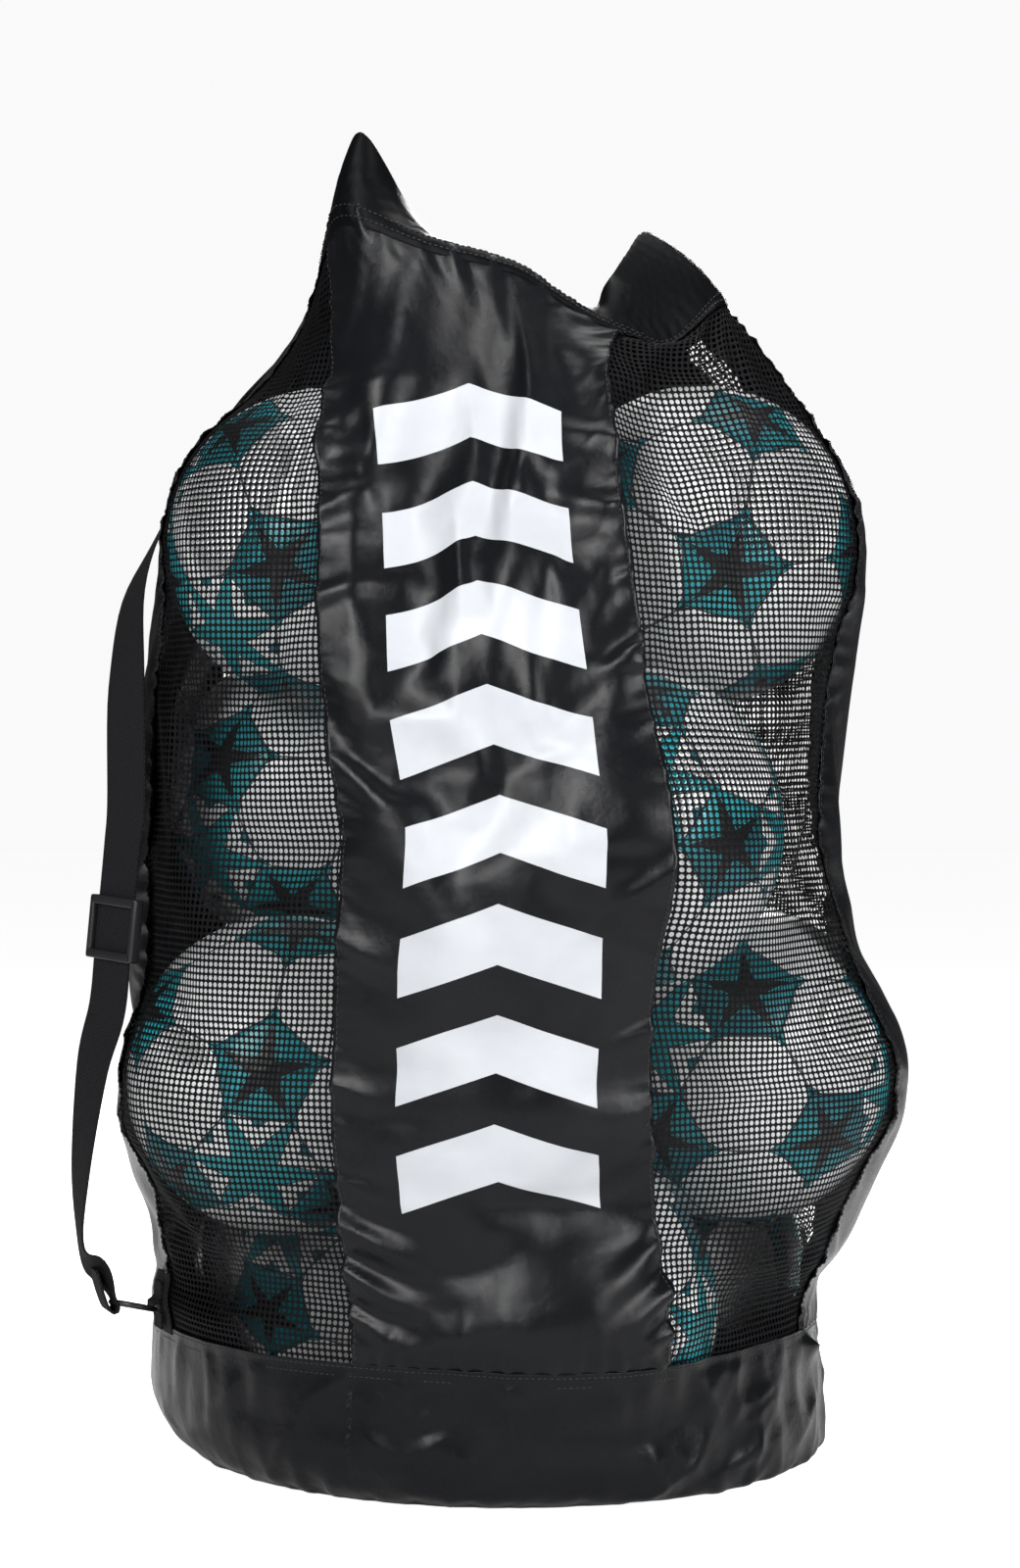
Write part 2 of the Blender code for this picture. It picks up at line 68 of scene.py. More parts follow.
# slack cloth radius at each height, by the side of the sack it belongs to
PROFILE_Z = [0.000, 0.006, 0.030, 0.060, 0.093, 0.180, 0.260, 0.360, 0.450,
             0.540, 0.630, 0.700, 0.740]
PROFILES = [
    (0, [0.213, 0.222, 0.230, 0.228, 0.222, 0.230, 0.238, 0.242, 0.244, 0.244, 0.236, 0.206, 0.178]),
    (90, [0.213, 0.216, 0.219, 0.214, 0.205, 0.244, 0.270, 0.248, 0.226, 0.232, 0.247, 0.233, 0.214]),
    (180, [0.213, 0.222, 0.230, 0.228, 0.226, 0.238, 0.246, 0.248, 0.248, 0.246, 0.232, 0.204, 0.176]),
    (-98, [0.213, 0.234, 0.248, 0.250, 0.250, 0.262, 0.270, 0.280, 0.284, 0.274, 0.248, 0.208, 0.178]),
    (-70, [0.213, 0.228, 0.240, 0.242, 0.240, 0.248, 0.254, 0.254, 0.254, 0.250, 0.238, 0.207, 0.178]),
]

# mouth seam round the sack: angle label, (x, y, z) of the seam, (x, y, z) run of the hem above it
MOUTH = [
    (-75, (-0.130, -0.030, 0.815), (0.014, 0.002, 0.044)),
    (-50, (-0.124, -0.085, 0.836), (0.014, 0.004, 0.044)),
    (-28, (-0.109, -0.118, 0.850), (0.012, 0.004, 0.048)),
    (-10, (-0.055, -0.134, 0.827), (0.006, 0.048, 0.002)),
    (4, (0.005, -0.140, 0.808), (0.000, 0.054, -0.010)),
    (13, (0.048, -0.138, 0.780), (0.002, 0.046, -0.002)),
    (18, (0.066, -0.134, 0.772), (-0.006, 0.020, 0.020)),
    (22, (0.079, -0.130, 0.766), (-0.012, 0.019, 0.036)),
    (33, (0.106, -0.116, 0.760), (-0.027, 0.014, 0.060)),
    (50, (0.140, -0.086, 0.794), (-0.046, 0.008, 0.046)),
    (70, (0.144, -0.048, 0.796), (-0.030, 0.008, 0.030)),
    (100, (0.140, 0.020, 0.794), (-0.036, 0.000, 0.024)),
    (140, (0.100, 0.092, 0.776), (-0.028, -0.026, 0.030)),
    (180, (0.000, 0.120, 0.774), (0.000, -0.040, 0.032)),
    (-140, (-0.096, 0.090, 0.786), (0.028, -0.026, 0.034)),
    (-105, (-0.128, 0.030, 0.800), (0.024, -0.006, 0.040)),
]

# gore seams: angle at each height, going round; each gore lies between its seam and the next
SEAM_HEIGHTS = [0.09, 0.26, 0.44, 0.65, 0.71, 0.78]
SEAMS = [
    [-26, -28.5, -26, -34, -40, -46],
    [25.5, 22, 22, 19, 20, 22],
    [66, 74, 63, 66, 66, 64],
    [109, 109, 109, 111, 113, 114],
    [152, 152, 150, 140, 128, 124],
    [208, 208, 210, 216, 220, 222],
    [238, 232, 232, 238, 245, 245],
    [288, 288, 288, 288, 288, 288],
]
GORES = ["panel_front", "mesh_front_right", "panel_right", "mesh_back_right",
         "panel_back", "mesh_back_left", "panel_left", "mesh_front_left"]

# ---- the cloth's grid -------------------------------------------------------------
CONTROL_COLUMNS = 72
BODY_ROWS = 36
TOP_ROWS = 8
HEM_ROWS = 5
PER_GORE = 26           # simulated columns in one gore
BAND_CELLS = 12         # simulated rows in the base band, in the gores and in the hem
GORE_CELLS = 92
HEM_CELLS = 8
COLUMNS = PER_GORE * len(GORES)
MOUTH_ROW = BAND_CELLS + GORE_CELLS
RIM_ROW = MOUTH_ROW + HEM_CELLS


def unit(v):
    v = np.asarray(v, float)
    return v / np.maximum(np.linalg.norm(v, axis=-1, keepdims=True), 1e-12)


def periodic(angles, values, at):
    """Smooth closed curve through values at angles in degrees, read at the angles asked for."""
    order = np.argsort(np.mod(angles, 360))
    a = np.mod(np.array(angles, float), 360)[order]
    v = np.array(values, float)[order]
    a = np.concatenate([a[-2:] - 360, a, a[:2] + 360])
    v = np.concatenate([v[-2:], v, v[:2]])
    at = np.mod(at, 360)
    k = np.clip(np.searchsorted(a, at, side="right") - 1, 1, len(a) - 3)
    t = ((at - a[k]) / (a[k + 1] - a[k]))[..., None]
    slope = (v[2:] - v[:-2]) / (a[2:] - a[:-2])[:, None]
    width = (a[k + 1] - a[k])[..., None]
    m0, m1 = slope[k - 1] * width, slope[k] * width
    h00, h10 = 2 * t**3 - 3 * t**2 + 1, t**3 - 2 * t**2 + t
    h01, h11 = -2 * t**3 + 3 * t**2, t**3 - t**2
    return h00 * v[k] + h10 * m0 + h01 * v[k + 1] + h11 * m1


def cubic_weights(t):
    """Catmull-Rom weights of the four neighbours."""
    return np.stack([-t + 2 * t**2 - t**3, 2 - 5 * t**2 + 3 * t**3,
                     t + 4 * t**2 - 3 * t**3, -(t**2) + t**3]) / 2


def sample(grid, row, col):
    """Smooth surface through a grid that closes on itself column-wise, at rows and columns."""
    row, col = np.broadcast_arrays(np.asarray(row, float), np.asarray(col, float))
    rows, cols = grid.shape[:2]
    row = np.clip(row, 0, rows - 1.000001)
    r0, c0 = np.floor(row).astype(int), np.floor(col).astype(int)
    wr, wc = cubic_weights(row - r0), cubic_weights(col - c0)
    out = 0
    for i in range(4):
        r = np.clip(r0 + i - 1, 0, rows - 1)
        for j in range(4):
            weight = (wr[i] * wc[j])[..., None]
            out = out + weight * grid[r, (c0 + j - 1) % cols]
    return out


def outward(grid, row, col, step=0.5):
    """Outward unit normal of the sampled surface."""
    across = sample(grid, row, col + step) - sample(grid, row, col - step)
    low = np.clip(row - step, 0, len(grid) - 1)
    high = np.clip(row + step, 0, len(grid) - 1)
    return unit(np.cross(across, sample(grid, high, col) - sample(grid, low, col)))


def arc(points):
    """Distance along a line of points, starting at 0."""
    return np.concatenate([[0], np.cumsum(np.linalg.norm(np.diff(points, axis=0), axis=1))])


def read_line(at, run, values):
    """Rows of values, known at the distances run, read at the distances asked for."""
    return np.stack([np.interp(at, run, values[:, k]) for k in range(3)], 1)


def ring_at(cloth, row, ring):
    """Points and outward normals of the cloth along one row, at the columns of a ring."""
    at = np.full(ring.shape, float(row))
    return sample(cloth, at, ring), outward(cloth, at, ring)


# ---- the sack's shape before it is draped ------------------------------------------
def ball_centre(node):
    """Centre of the sphere through a packed ball's points."""
    points = np.array([v.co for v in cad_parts[node].data.vertices], float)
    system = np.column_stack([2 * points, np.ones(len(points))])
    return np.linalg.lstsq(system, (points**2).sum(axis=1), rcond=None)[0][:3]


BALLS = {n: ball_centre(n) for n in sorted(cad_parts) if n.startswith("ball_")}


def slack_radius(theta, z):
    """Radius the cloth would hang at with no ball against it."""
    table = [[np.interp(zz, PROFILE_Z, row) for _, row in PROFILES] for zz in z]
    angles = [a for a, _ in PROFILES]
    return np.array([periodic(angles, np.array(row)[:, None], theta)[:, 0] for row in table])


def ball_radius(theta, z):
    """Radius that just clears the balls, 0 where a ray meets none."""
    ux, uy = np.sin(np.radians(theta)), -np.cos(np.radians(theta))
    out = np.zeros((len(z), len(theta)))
    for cx, cy, cz in BALLS.values():
        along = (ux * cx + uy * cy)[None, :]
        cut = (BALL_R + STANDOFF) ** 2 - (z[:, None] - cz) ** 2
        inside = cut - (cx * cx + cy * cy) + along**2
        hit = np.where((cut > 0) & (inside > 0), along + np.sqrt(np.maximum(inside, 0)), 0)
        out = np.maximum(out, hit)
    return out


def clear_of_balls(points, standoff):
    """Points moved straight out of any ball they are inside."""
    points = points.copy()
    for centre in BALLS.values():
        away = points - centre
        far = np.linalg.norm(away, axis=-1, keepdims=True)
        points = np.where(far < BALL_R + standoff, centre + away / far * (BALL_R + standoff), points)
    return points


def control_grid():
    """Coarse surface from the base edge through the mouth seam to the rim of the hem."""
    theta = np.arange(CONTROL_COLUMNS) * 360 / CONTROL_COLUMNS
    z = np.interp(np.linspace(0, 1, BODY_ROWS), [0, 0.05, 0.20, 1], [0, 0.012, SEAM_Z, SHOULDER_Z])
    slack, held = slack_radius(theta, z), ball_radius(theta, z)
    r = np.maximum(slack, held)
    for _ in range(60):
        around = (np.roll(r, 1, 1) + np.roll(r, -1, 1)) / 2
        along = r.copy()
        along[1:-1] = (r[:-2] + r[2:]) / 2
        mean = 0.5 * around + 0.5 * along
        r[6:] = np.maximum(held, 0.88 * mean + 0.12 * slack)[6:]
    x, y = r * np.sin(np.radians(theta)), -r * np.cos(np.radians(theta))
    body = np.stack([x, y, np.repeat(z[:, None], CONTROL_COLUMNS, 1)], axis=2)
    angles = [row[0] for row in MOUTH]
    seam = periodic(angles, [row[1] for row in MOUTH], theta)
    run = periodic(angles, [row[2] for row in MOUTH], theta)
    lean = body[-1] - body[-3]
    rows = list(body)
    for t in np.linspace(0, 1, TOP_ROWS + 1)[1:]:
        bow = (1 - t) ** 2 * t * 1.6
        rows.append(clear_of_balls(body[-1] * (1 - t) + seam * t + lean * bow, STANDOFF))
    for share in np.linspace(0, 1, HEM_ROWS + 1)[1:]:
        sag = share * (1 - share) * 0.016
        rows.append(seam + share * run + np.array([0, 0, sag]))
    return np.array(rows)


def start_grid():
    """The surface on the rows and columns that are simulated; every PER_GORE-th column is a seam."""
    control = control_grid()
    gaps = np.linalg.norm(np.diff(control, axis=0), axis=2).mean(axis=1)
    along = np.concatenate([[0], np.cumsum(gaps)])
    number = np.arange(len(along))
    seam_row = float(np.interp(SEAM_Z, control[:BODY_ROWS, 0, 2], np.arange(BODY_ROWS)))
    stops = [0, float(np.interp(seam_row, number, along)), along[BODY_ROWS + TOP_ROWS - 1], along[-1]]
    at = [np.linspace(a, b, n + 1)[:-1]
          for a, b, n in zip(stops, stops[1:], (BAND_CELLS, GORE_CELLS, HEM_CELLS))]
    row = np.interp(np.concatenate(at + [[stops[-1]]]), along, number)
    height = np.interp(row, number, control[:, 0, 2])
    edges = np.array([np.interp(height, SEAM_HEIGHTS, seam) for seam in SEAMS])
    edges = np.concatenate([edges, edges[:1] + 360])
    share = np.arange(PER_GORE) / PER_GORE
    theta = [edges[k][:, None] * (1 - share) + edges[k + 1][:, None] * share for k in range(len(GORES))]
    theta = np.concatenate(theta, axis=1)
    return sample(control, np.repeat(row[:, None], COLUMNS, 1), theta / 360 * CONTROL_COLUMNS)


# ---- meshes -----------------------------------------------------------------------
def mesh_object(name, verts, faces, uv=None):
    """New mesh object, shaded smooth; uv holds one pair for each vertex."""
    mesh = bpy.data.meshes.new(name)
    faces = faces.tolist() if isinstance(faces, np.ndarray) else faces
    mesh.from_pydata(np.asarray(verts).tolist(), [], faces)
    mesh.validate()
    if uv is not None:
        layer = mesh.uv_layers.new(name="Cloth")
        index = np.zeros(len(mesh.loops), int)
        mesh.loops.foreach_get("vertex_index", index)
        layer.data.foreach_set("uv", np.asarray(uv, float)[index].ravel())
    mesh.polygons.foreach_set("use_smooth", [True] * len(mesh.polygons))
    obj = bpy.data.objects.new(name, mesh)
    bpy.context.scene.collection.objects.link(obj)
    return obj


def grid_faces(rows, cols, closed=False):
    """Quads of a rows by cols grid of points, numbered row by row."""
    across = cols if closed else cols - 1
    r, c = np.meshgrid(np.arange(rows - 1), np.arange(across), indexing="ij")
    d = (c + 1) % cols
    corners = [r * cols + c, r * cols + d, (r + 1) * cols + d, (r + 1) * cols + c]
    return np.stack(corners, -1).reshape(-1, 4)


# ---- the cloth simulation ----------------------------------------------------------
SIM_FRAMES = 28
SLACK = 0.022           # how much longer the cloth is than the tight shape
# how firmly each part of the cloth keeps its place while it drapes; the base edge is fixed, 1
HOLD_OPEN = 0.012
HOLD_SEAM = 0.20
HOLD_BAND = 0.45
HOLD_MOUTH = 0.80


def collider(name, centre):
    """Ball for the cloth to rest on while it is simulated."""
    bpy.ops.mesh.primitive_uv_sphere_add(segments=40, ring_count=24, radius=BALL_R, location=centre)
    obj = bpy.context.object
    obj.name = name
    obj.modifiers.new("collision", "COLLISION")
    obj.collision.thickness_outer = 0.001
    obj.collision.cloth_friction = 8
    return obj


def drape(grid):
    """The grid after Blender's cloth has hung it over the balls from its held edges."""
    rows = len(grid)
    cloth = mesh_object("draping", grid.reshape(-1, 3), grid_faces(rows, COLUMNS, closed=True))
    row = np.repeat(np.arange(rows), COLUMNS)
    column = np.tile(np.arange(COLUMNS), rows)
    hold = np.full(rows * COLUMNS, HOLD_OPEN)
    hold[column % PER_GORE == 0] = HOLD_SEAM
    hold[row == BAND_CELLS] = HOLD_BAND
    hold[row >= MOUTH_ROW - 1] = HOLD_MOUTH
    hold[row == 0] = 1.0
    group = cloth.vertex_groups.new(name="held")
    for weight in np.unique(hold):
        group.add(np.nonzero(hold == weight)[0].tolist(), float(weight), "REPLACE")
    colliders = [collider(f"collide_{n}", c) for n, c in BALLS.items()]
    settings = cloth.modifiers.new("cloth", "CLOTH").settings
    settings.quality = 6
    settings.mass = 0.06
    settings.tension_stiffness = 24
    settings.compression_stiffness = 24
    settings.shear_stiffness = 8
    settings.bending_model = "ANGULAR"
    settings.bending_stiffness = 0.15
    settings.tension_damping = 8
    settings.compression_damping = 8
    settings.shear_damping = 8
    settings.air_damping = 3
    settings.shrink_min = -SLACK
    settings.vertex_group_mass = "held"
    settings.pin_stiffness = 4
    settings.effector_weights.gravity = 0.5
    contact = cloth.modifiers["cloth"].collision_settings
    contact.distance_min = 0.0022
    contact.collision_quality = 3
    contact.use_self_collision = False
    cloth.modifiers["cloth"].point_cache.frame_end = SIM_FRAMES
    scene = bpy.context.scene
    scene.frame_end = SIM_FRAMES
    for number in range(1, SIM_FRAMES + 1):
        scene.frame_set(number)
    shown = cloth.evaluated_get(bpy.context.evaluated_depsgraph_get())
    points = np.zeros(rows * COLUMNS * 3)
    shown.data.vertices.foreach_get("co", points)
    scene.frame_set(1)
    for obj in [cloth, *colliders]:
        bpy.data.objects.remove(obj, do_unlink=True)
    return points.reshape(grid.shape)


EASE_ROWS = [0, 3, 10, 40, 60, MOUTH_ROW - 3, MOUTH_ROW - 1, RIM_ROW]
EASE_SHARES = [0, 0.3, 0.5, 0.5, 0.2, 0.2, 0, 0]
EASE_ROUNDS = 4


def ease(cloth):
    """Takes the hard kinks out of the draped cloth, most of all low down, and keeps it off the balls."""
    share = np.interp(np.arange(len(cloth)), EASE_ROWS, EASE_SHARES)[1:-1, None, None]
    for _ in range(EASE_ROUNDS):
        sides = np.roll(cloth, 1, 1) + np.roll(cloth, -1, 1)
        mean = (sides[1:-1] + cloth[:-2] + cloth[2:]) / 4
        cloth = np.concatenate([cloth[:1], cloth[1:-1] * (1 - share) + mean * share, cloth[-1:]])
    return clear_of_balls(cloth, STANDOFF - 0.0006)


# ---- folds and puckers -------------------------------------------------------------
# drag folds that run in from the front gore's two long seams:
# side, height above the band seam, run across, run up, rise, breadth
FRONT_DRAGS = [
    (-1, 0.099, 0.106, -0.061, 0.0085, 0.0075),
    (-1, 0.066, 0.090, -0.054, 0.0080, 0.0065),
    (-1, 0.035, 0.060, -0.030, 0.0050, 0.0050),
    (-1, 0.128, 0.060, -0.022, 0.0040, 0.0050),
    (1, 0.086, -0.066, -0.060, 0.0080, 0.0070),
    (1, 0.052, -0.064, -0.046, 0.0070, 0.0060),
    (1, 0.024, -0.050, -0.020, 0.0045, 0.0045),
    (1, 0.150, -0.070, -0.034, 0.0045, 0.0055),
    (-1, 0.190, 0.050, -0.016, 0.0035, 0.0045),
    (1, 0.225, -0.060, -0.030, 0.0040, 0.0055),
    (-1, 0.285, 0.070, -0.040, 0.0040, 0.0060),
    (1, 0.330, -0.105, -0.080, 0.0050, 0.0065),
    (-1, 0.400, 0.085, -0.070, 0.0050, 0.0065),
    (1, 0.420, -0.060, -0.020, 0.0040, 0.0050),
    (1, 0.470, -0.110, -0.060, 0.0052, 0.0070),
    (-1, 0.500, 0.060, 0.030, 0.0040, 0.0055),
    (1, 0.560, -0.115, 0.040, 0.0052, 0.0070),
    (-1, 0.560, 0.090, 0.050, 0.0050, 0.0065),
    (-1, 0.610, 0.085, 0.085, 0.0060, 0.0075),
    (1, 0.610, -0.080, 0.030, 0.0045, 0.0060),
    (-1, 0.650, 0.120, 0.020, 0.0050, 0.0070),
]


class Gore:
    """One gore of the cloth: s runs across from its middle and t up from the base edge, in metres."""

    def __init__(self, cloth, rest, number, nylon):
        self.cloth, self.number, self.nylon = cloth, number, nylon
        first = number * PER_GORE
        strip = rest[:, np.arange(first, first + PER_GORE + 1) % COLUMNS]
        self.width = np.linalg.norm(np.diff(strip, axis=1), axis=2).sum(axis=1)
        self.up = arc(strip[:, PER_GORE // 2])
        self.low, self.high = self.up[BAND_CELLS], self.up[MOUTH_ROW]
        self.folds = self.make_folds() if nylon else []

    def width_at(self, t):
        """Width across the gore at a height."""
        return np.interp(t, self.up, self.width)

    def make_folds(self):
        """Soft creases that run in from the two long seams, up from the band and down from the hem."""
        rng = np.random.default_rng(40 + self.number)
        folds = []
        for side in (-1, 1):
            for t in np.arange(self.low + 0.01, self.high, 0.0165):
                t += rng.uniform(-0.006, 0.006)
                tilt = -0.35 - 0.5 * np.sin(9 * t + side) + rng.uniform(-0.3, 0.3)
                toward = (-side * np.cos(tilt), np.sin(tilt))
                folds.append(((side * self.width_at(t) / 2, t), toward, rng.uniform(0.015, 0.070),
                              rng.uniform(0.0006, 0.0026), rng.uniform(0.0022, 0.0052)))
        for t, climb, count in ((self.low, 1, 15), (self.high, -1, 11)):
            for s in np.linspace(-0.46, 0.46, count) * self.width_at(t):
                tilt = rng.uniform(-0.35, 0.35) - climb * 2.2 * s
                toward = (np.sin(tilt), climb * np.cos(tilt))
                folds.append(((s, t), toward, rng.uniform(0.02, 0.06),
                              rng.uniform(0.0008, 0.0028), rng.uniform(0.002, 0.0045)))
        for side, above, across, climb, rise, breadth in FRONT_DRAGS if self.number == 0 else []:
            t = self.low + above
            run = math.hypot(across, climb)
            root = (side * self.width_at(t) / 2, t)
            folds.append((root, (across / run, climb / run), run, rise, breadth))
        return folds

    def height(self, s, t):
        """How far the folds and the seam puckers lift the nylon."""
        out = fold_height(self.folds, s, t)
        to_edge = np.maximum(self.width_at(t) / 2 - np.abs(s), 0)
        side = np.sign(s) * 1.7 + self.number
        ripple = 0.5 + 0.5 * np.sin(2 * np.pi * t / 0.0105 + side + 1.6 * np.sin(t * 61 + side))
        return out + 0.0008 * ripple * np.exp(-to_edge / 0.009)

    def place(self, s, t):
        """Row and column of a point of the gore."""
        row = np.interp(t, self.up, np.arange(len(self.up)))
        middle = (self.number + 0.5) * PER_GORE
        return row, middle + PER_GORE * s / self.width_at(t)

    def point(self, s, t, lift=0.0):
        """Point on the gore, lifted off its face, and the outward normal there."""
        s, t = np.broadcast_arrays(np.asarray(s, float), np.asarray(t, float))
        row, col = self.place(s, t)
        normal = outward(self.cloth, row, col)
        rise = lift + (self.height(s, t) if self.nylon else 0.0)
        return sample(self.cloth, row, col) + normal * np.asarray(rise)[..., None], normal


def fold_height(folds, s, t):
    """Sum of creases: each starts full at its root on a seam and dies away along its length."""
    out = np.zeros(np.shape(s))
    for (s0, t0), (ds, dt), length, rise, broad in folds:
        along = ((s - s0) * ds + (t - t0) * dt) / length
        across = (s - s0) * dt - (t - t0) * ds
        near = (along > -0.1) & (along < 1) & (np.abs(across) < 3 * broad)
        a = np.clip(along[near], 0, 1)
        spread = broad * (1 + 0.8 * a)
        out[near] += rise * (1 - a) ** 1.5 * np.exp(-((across[near] / spread) ** 2))
    return out


def crumple_height(creases, s, t):
    """Sum of short sharp-crested creases, each dying away both ways from its middle."""
    out = np.zeros(np.shape(s))
    for (s0, t0), turn, length, rise, breadth in creases:
        along = ((s - s0) * math.cos(turn) + (t - t0) * math.sin(turn)) / length
        across = ((t - t0) * math.cos(turn) - (s - s0) * math.sin(turn)) / breadth
        near = (np.abs(along) < 2.2) & (np.abs(across) < 5)
        out[near] += rise * np.exp(-along[near] ** 2 - np.sqrt(across[near] ** 2 + 0.02))
    return out


# ---- sack pieces -------------------------------------------------------------------
def thicken(obj, thickness):
    """Cloth thickness, laid inwards from the outer face."""
    solid = obj.modifiers.new("thickness", "SOLIDIFY")
    solid.thickness = thickness
    solid.offset = -1


def nylon_gore(gore, name):
    """Nylon gore, from just under the base band to just under the hem."""
    t = np.linspace(gore.low - SEAM_ALLOWANCE, gore.high + SEAM_ALLOWANCE * 0.7, 250)
    share = np.linspace(-0.5, 0.5, 84)
    s = gore.width_at(t)[:, None] * share
    points, _ = gore.point(s, np.repeat(t[:, None], len(share), 1))
    uv = np.stack([s, np.repeat(t[:, None], len(share), 1)], -1).reshape(-1, 2)
    obj = mesh_object(name, points.reshape(-1, 3), grid_faces(len(t), len(share)), uv=uv)
    thicken(obj, NYLON)
    return obj


def mesh_gore(gore, name):
    """Mesh gore with its real holes: each square cell is a ring of eight faces round a hole."""
    half = gore.width[BAND_CELLS:MOUTH_ROW].max() / 2 + LAP
    across = int(half / MESH_PITCH) + 1
    low = int((gore.low - LAP) / MESH_PITCH)
    high = int((gore.high + LAP) / MESH_PITCH)
    i, j = np.meshgrid(np.arange(-across, across), np.arange(low, high))
    s, t = (i + 0.5) * MESH_PITCH, (j + 0.5) * MESH_PITCH
    keep = np.abs(s) < gore.width_at(t) / 2 + LAP
    i, j, s, t = i[keep], j[keep], s[keep], t[keep]
    square = [(-1, -1), (0, -1), (1, -1), (1, 0), (1, 1), (0, 1), (-1, 1), (-1, 0)]
    turns = [math.atan2(y, x) for x, y in square]
    key = [((2 * j + 1 + dy) * 4096 + 2 * i + 1 + dx + 2048) for dx, dy in square]
    corner_keys, outer = np.unique(np.stack(key, 1), return_inverse=True)
    outer = outer.reshape(len(s), 8)
    ks, kt = corner_keys % 4096 - 2048, corner_keys // 4096
    frame_points, _ = gore.point(ks * MESH_PITCH / 2, kt * MESH_PITCH / 2, -MESH_DEPTH)
    hole_s = np.stack([s + MESH_HOLE_R * math.cos(a) for a in turns], 1)
    hole_t = np.stack([t + MESH_HOLE_R * math.sin(a) for a in turns], 1)
    hole_points, _ = gore.point(hole_s, hole_t, -MESH_DEPTH - 0.0004)
    verts = np.concatenate([frame_points, hole_points.reshape(-1, 3)])
    uv = np.concatenate([np.stack([ks, kt], 1) * MESH_PITCH / 2,
                         np.stack([hole_s, hole_t], -1).reshape(-1, 2)])
    inner = len(corner_keys) + np.arange(len(s) * 8).reshape(-1, 8)
    faces = [np.stack([outer[:, a], outer[:, (a + 1) % 8], inner[:, (a + 1) % 8], inner[:, a]], 1)
             for a in range(8)]
    return mesh_object(name, verts, np.concatenate(faces), uv=uv)


BAND_FOLD_STEP = 0.021
BAND_CREASES = 170      # tried all round; most of those outside the crumpled side are left out
CRUMPLED_SIDE = (0.03, 0.36)


def band_folds(rng, length, high):
    """Folds that run down from the band's seam or up from its foot."""
    folds = []
    for s in np.arange(0, length, BAND_FOLD_STEP):
        s += rng.uniform(-0.008, 0.008)
        down = rng.uniform() < 0.65
        tilt = rng.uniform(-0.3, 0.3)
        root = (s, high if down else 0.004)
        toward = (math.sin(tilt), -math.cos(tilt) if down else 1)
        folds.append((root, toward, rng.uniform(0.03, 0.095),
                      rng.uniform(0.0006, 0.0026), rng.uniform(0.003, 0.007)))
    return folds


def band_creases(rng, length, high):
    """Short creases in every direction, closer and higher on the sack's right side."""
    creases = []
    for share in rng.uniform(0, 1, BAND_CREASES):
        crumpled = CRUMPLED_SIDE[0] < share < CRUMPLED_SIDE[1]
        if not crumpled and rng.uniform() < 0.6:
            continue
        middle = (share * length, rng.uniform(0.01, high))
        creases.append((middle, rng.uniform(0.2, 2.9), rng.uniform(0.012, 0.036),
                        rng.uniform(0.0014, 0.0046 if crumpled else 0.0024),
                        rng.uniform(0.004, 0.010)))
    return creases


def base_band(cloth, rest):
    """Nylon band round the foot, its top edge lapped over the gores."""
    ring = np.arange(0, COLUMNS, 0.5)
    around = arc(np.concatenate([rest[BAND_CELLS // 2], rest[BAND_CELLS // 2, :1]]))
    s = np.interp(ring, np.arange(COLUMNS + 1), around)
    up = arc(rest[: BAND_CELLS + 2, 0])
    top = up[BAND_CELLS]
    t = np.concatenate([np.linspace(0, top, 40), [top + 0.0006]])
    rng = np.random.default_rng(7)
    folds = band_folds(rng, around[-1], top)
    creases = band_creases(rng, around[-1], top)

    def rise(s, t):
        return fold_height(folds, s, t) + crumple_height(creases, s, t)

    ss, tt = np.meshgrid(s, t)
    cols, rows = np.meshgrid(ring, np.interp(t, up, np.arange(len(up))))
    high = rise(ss, tt) * np.clip(tt / 0.012, 0, 1)
    high *= 1 - 0.75 * np.clip((tt - top + 0.012) / 0.008, 0, 1)
    lift = 0.0012 * np.clip((tt - 0.06) / 0.02, 0, 1) + high
    points = sample(cloth, rows, cols) + outward(cloth, np.maximum(rows, 1.0), cols) * lift[..., None]
    points[..., 2] = np.maximum(points[..., 2], 0.0006)
    obj = mesh_object("base_band_cloth", points.reshape(-1, 3),
                      grid_faces(len(t), len(ring), closed=True),
                      uv=np.stack([ss, tt], -1).reshape(-1, 2))
    thicken(obj, NYLON)

    def seam_line(drop):
        points, normal = ring_at(cloth, np.interp(top - drop, up, np.arange(len(up))), ring)
        lift = 0.0013 + 0.25 * rise(s, np.full(ring.shape, top - drop))
        return points + normal * lift[:, None], normal

    return obj, [seam_line(0.0022), seam_line(0.0085)], (around[-1], top)


def base_sheet(cloth):
    """Round bottom panel, sewn to the band just above the floor."""
    rings, sides = 14, 96
    edge = sample(cloth, np.zeros(sides), np.arange(sides) * COLUMNS / sides)
    verts = [(0, 0, 0.0016)]
    for k in range(1, rings + 1):
        for x, y, _ in edge * k / rings * 0.995:
            verts.append((x, y, 0.0014 + 0.0006 * math.sin(9 * x / BASE_R) * math.cos(7 * y / BASE_R)))
    faces = [(0, 1 + (a + 1) % sides, 1 + a) for a in range(sides)]
    for k in range(rings - 1):
        for a in range(sides):
            p, q = 1 + k * sides + a, 1 + k * sides + (a + 1) % sides
            faces.append((p, q, q + sides, p + sides))
    return mesh_object("base_bottom_cloth", verts, faces)


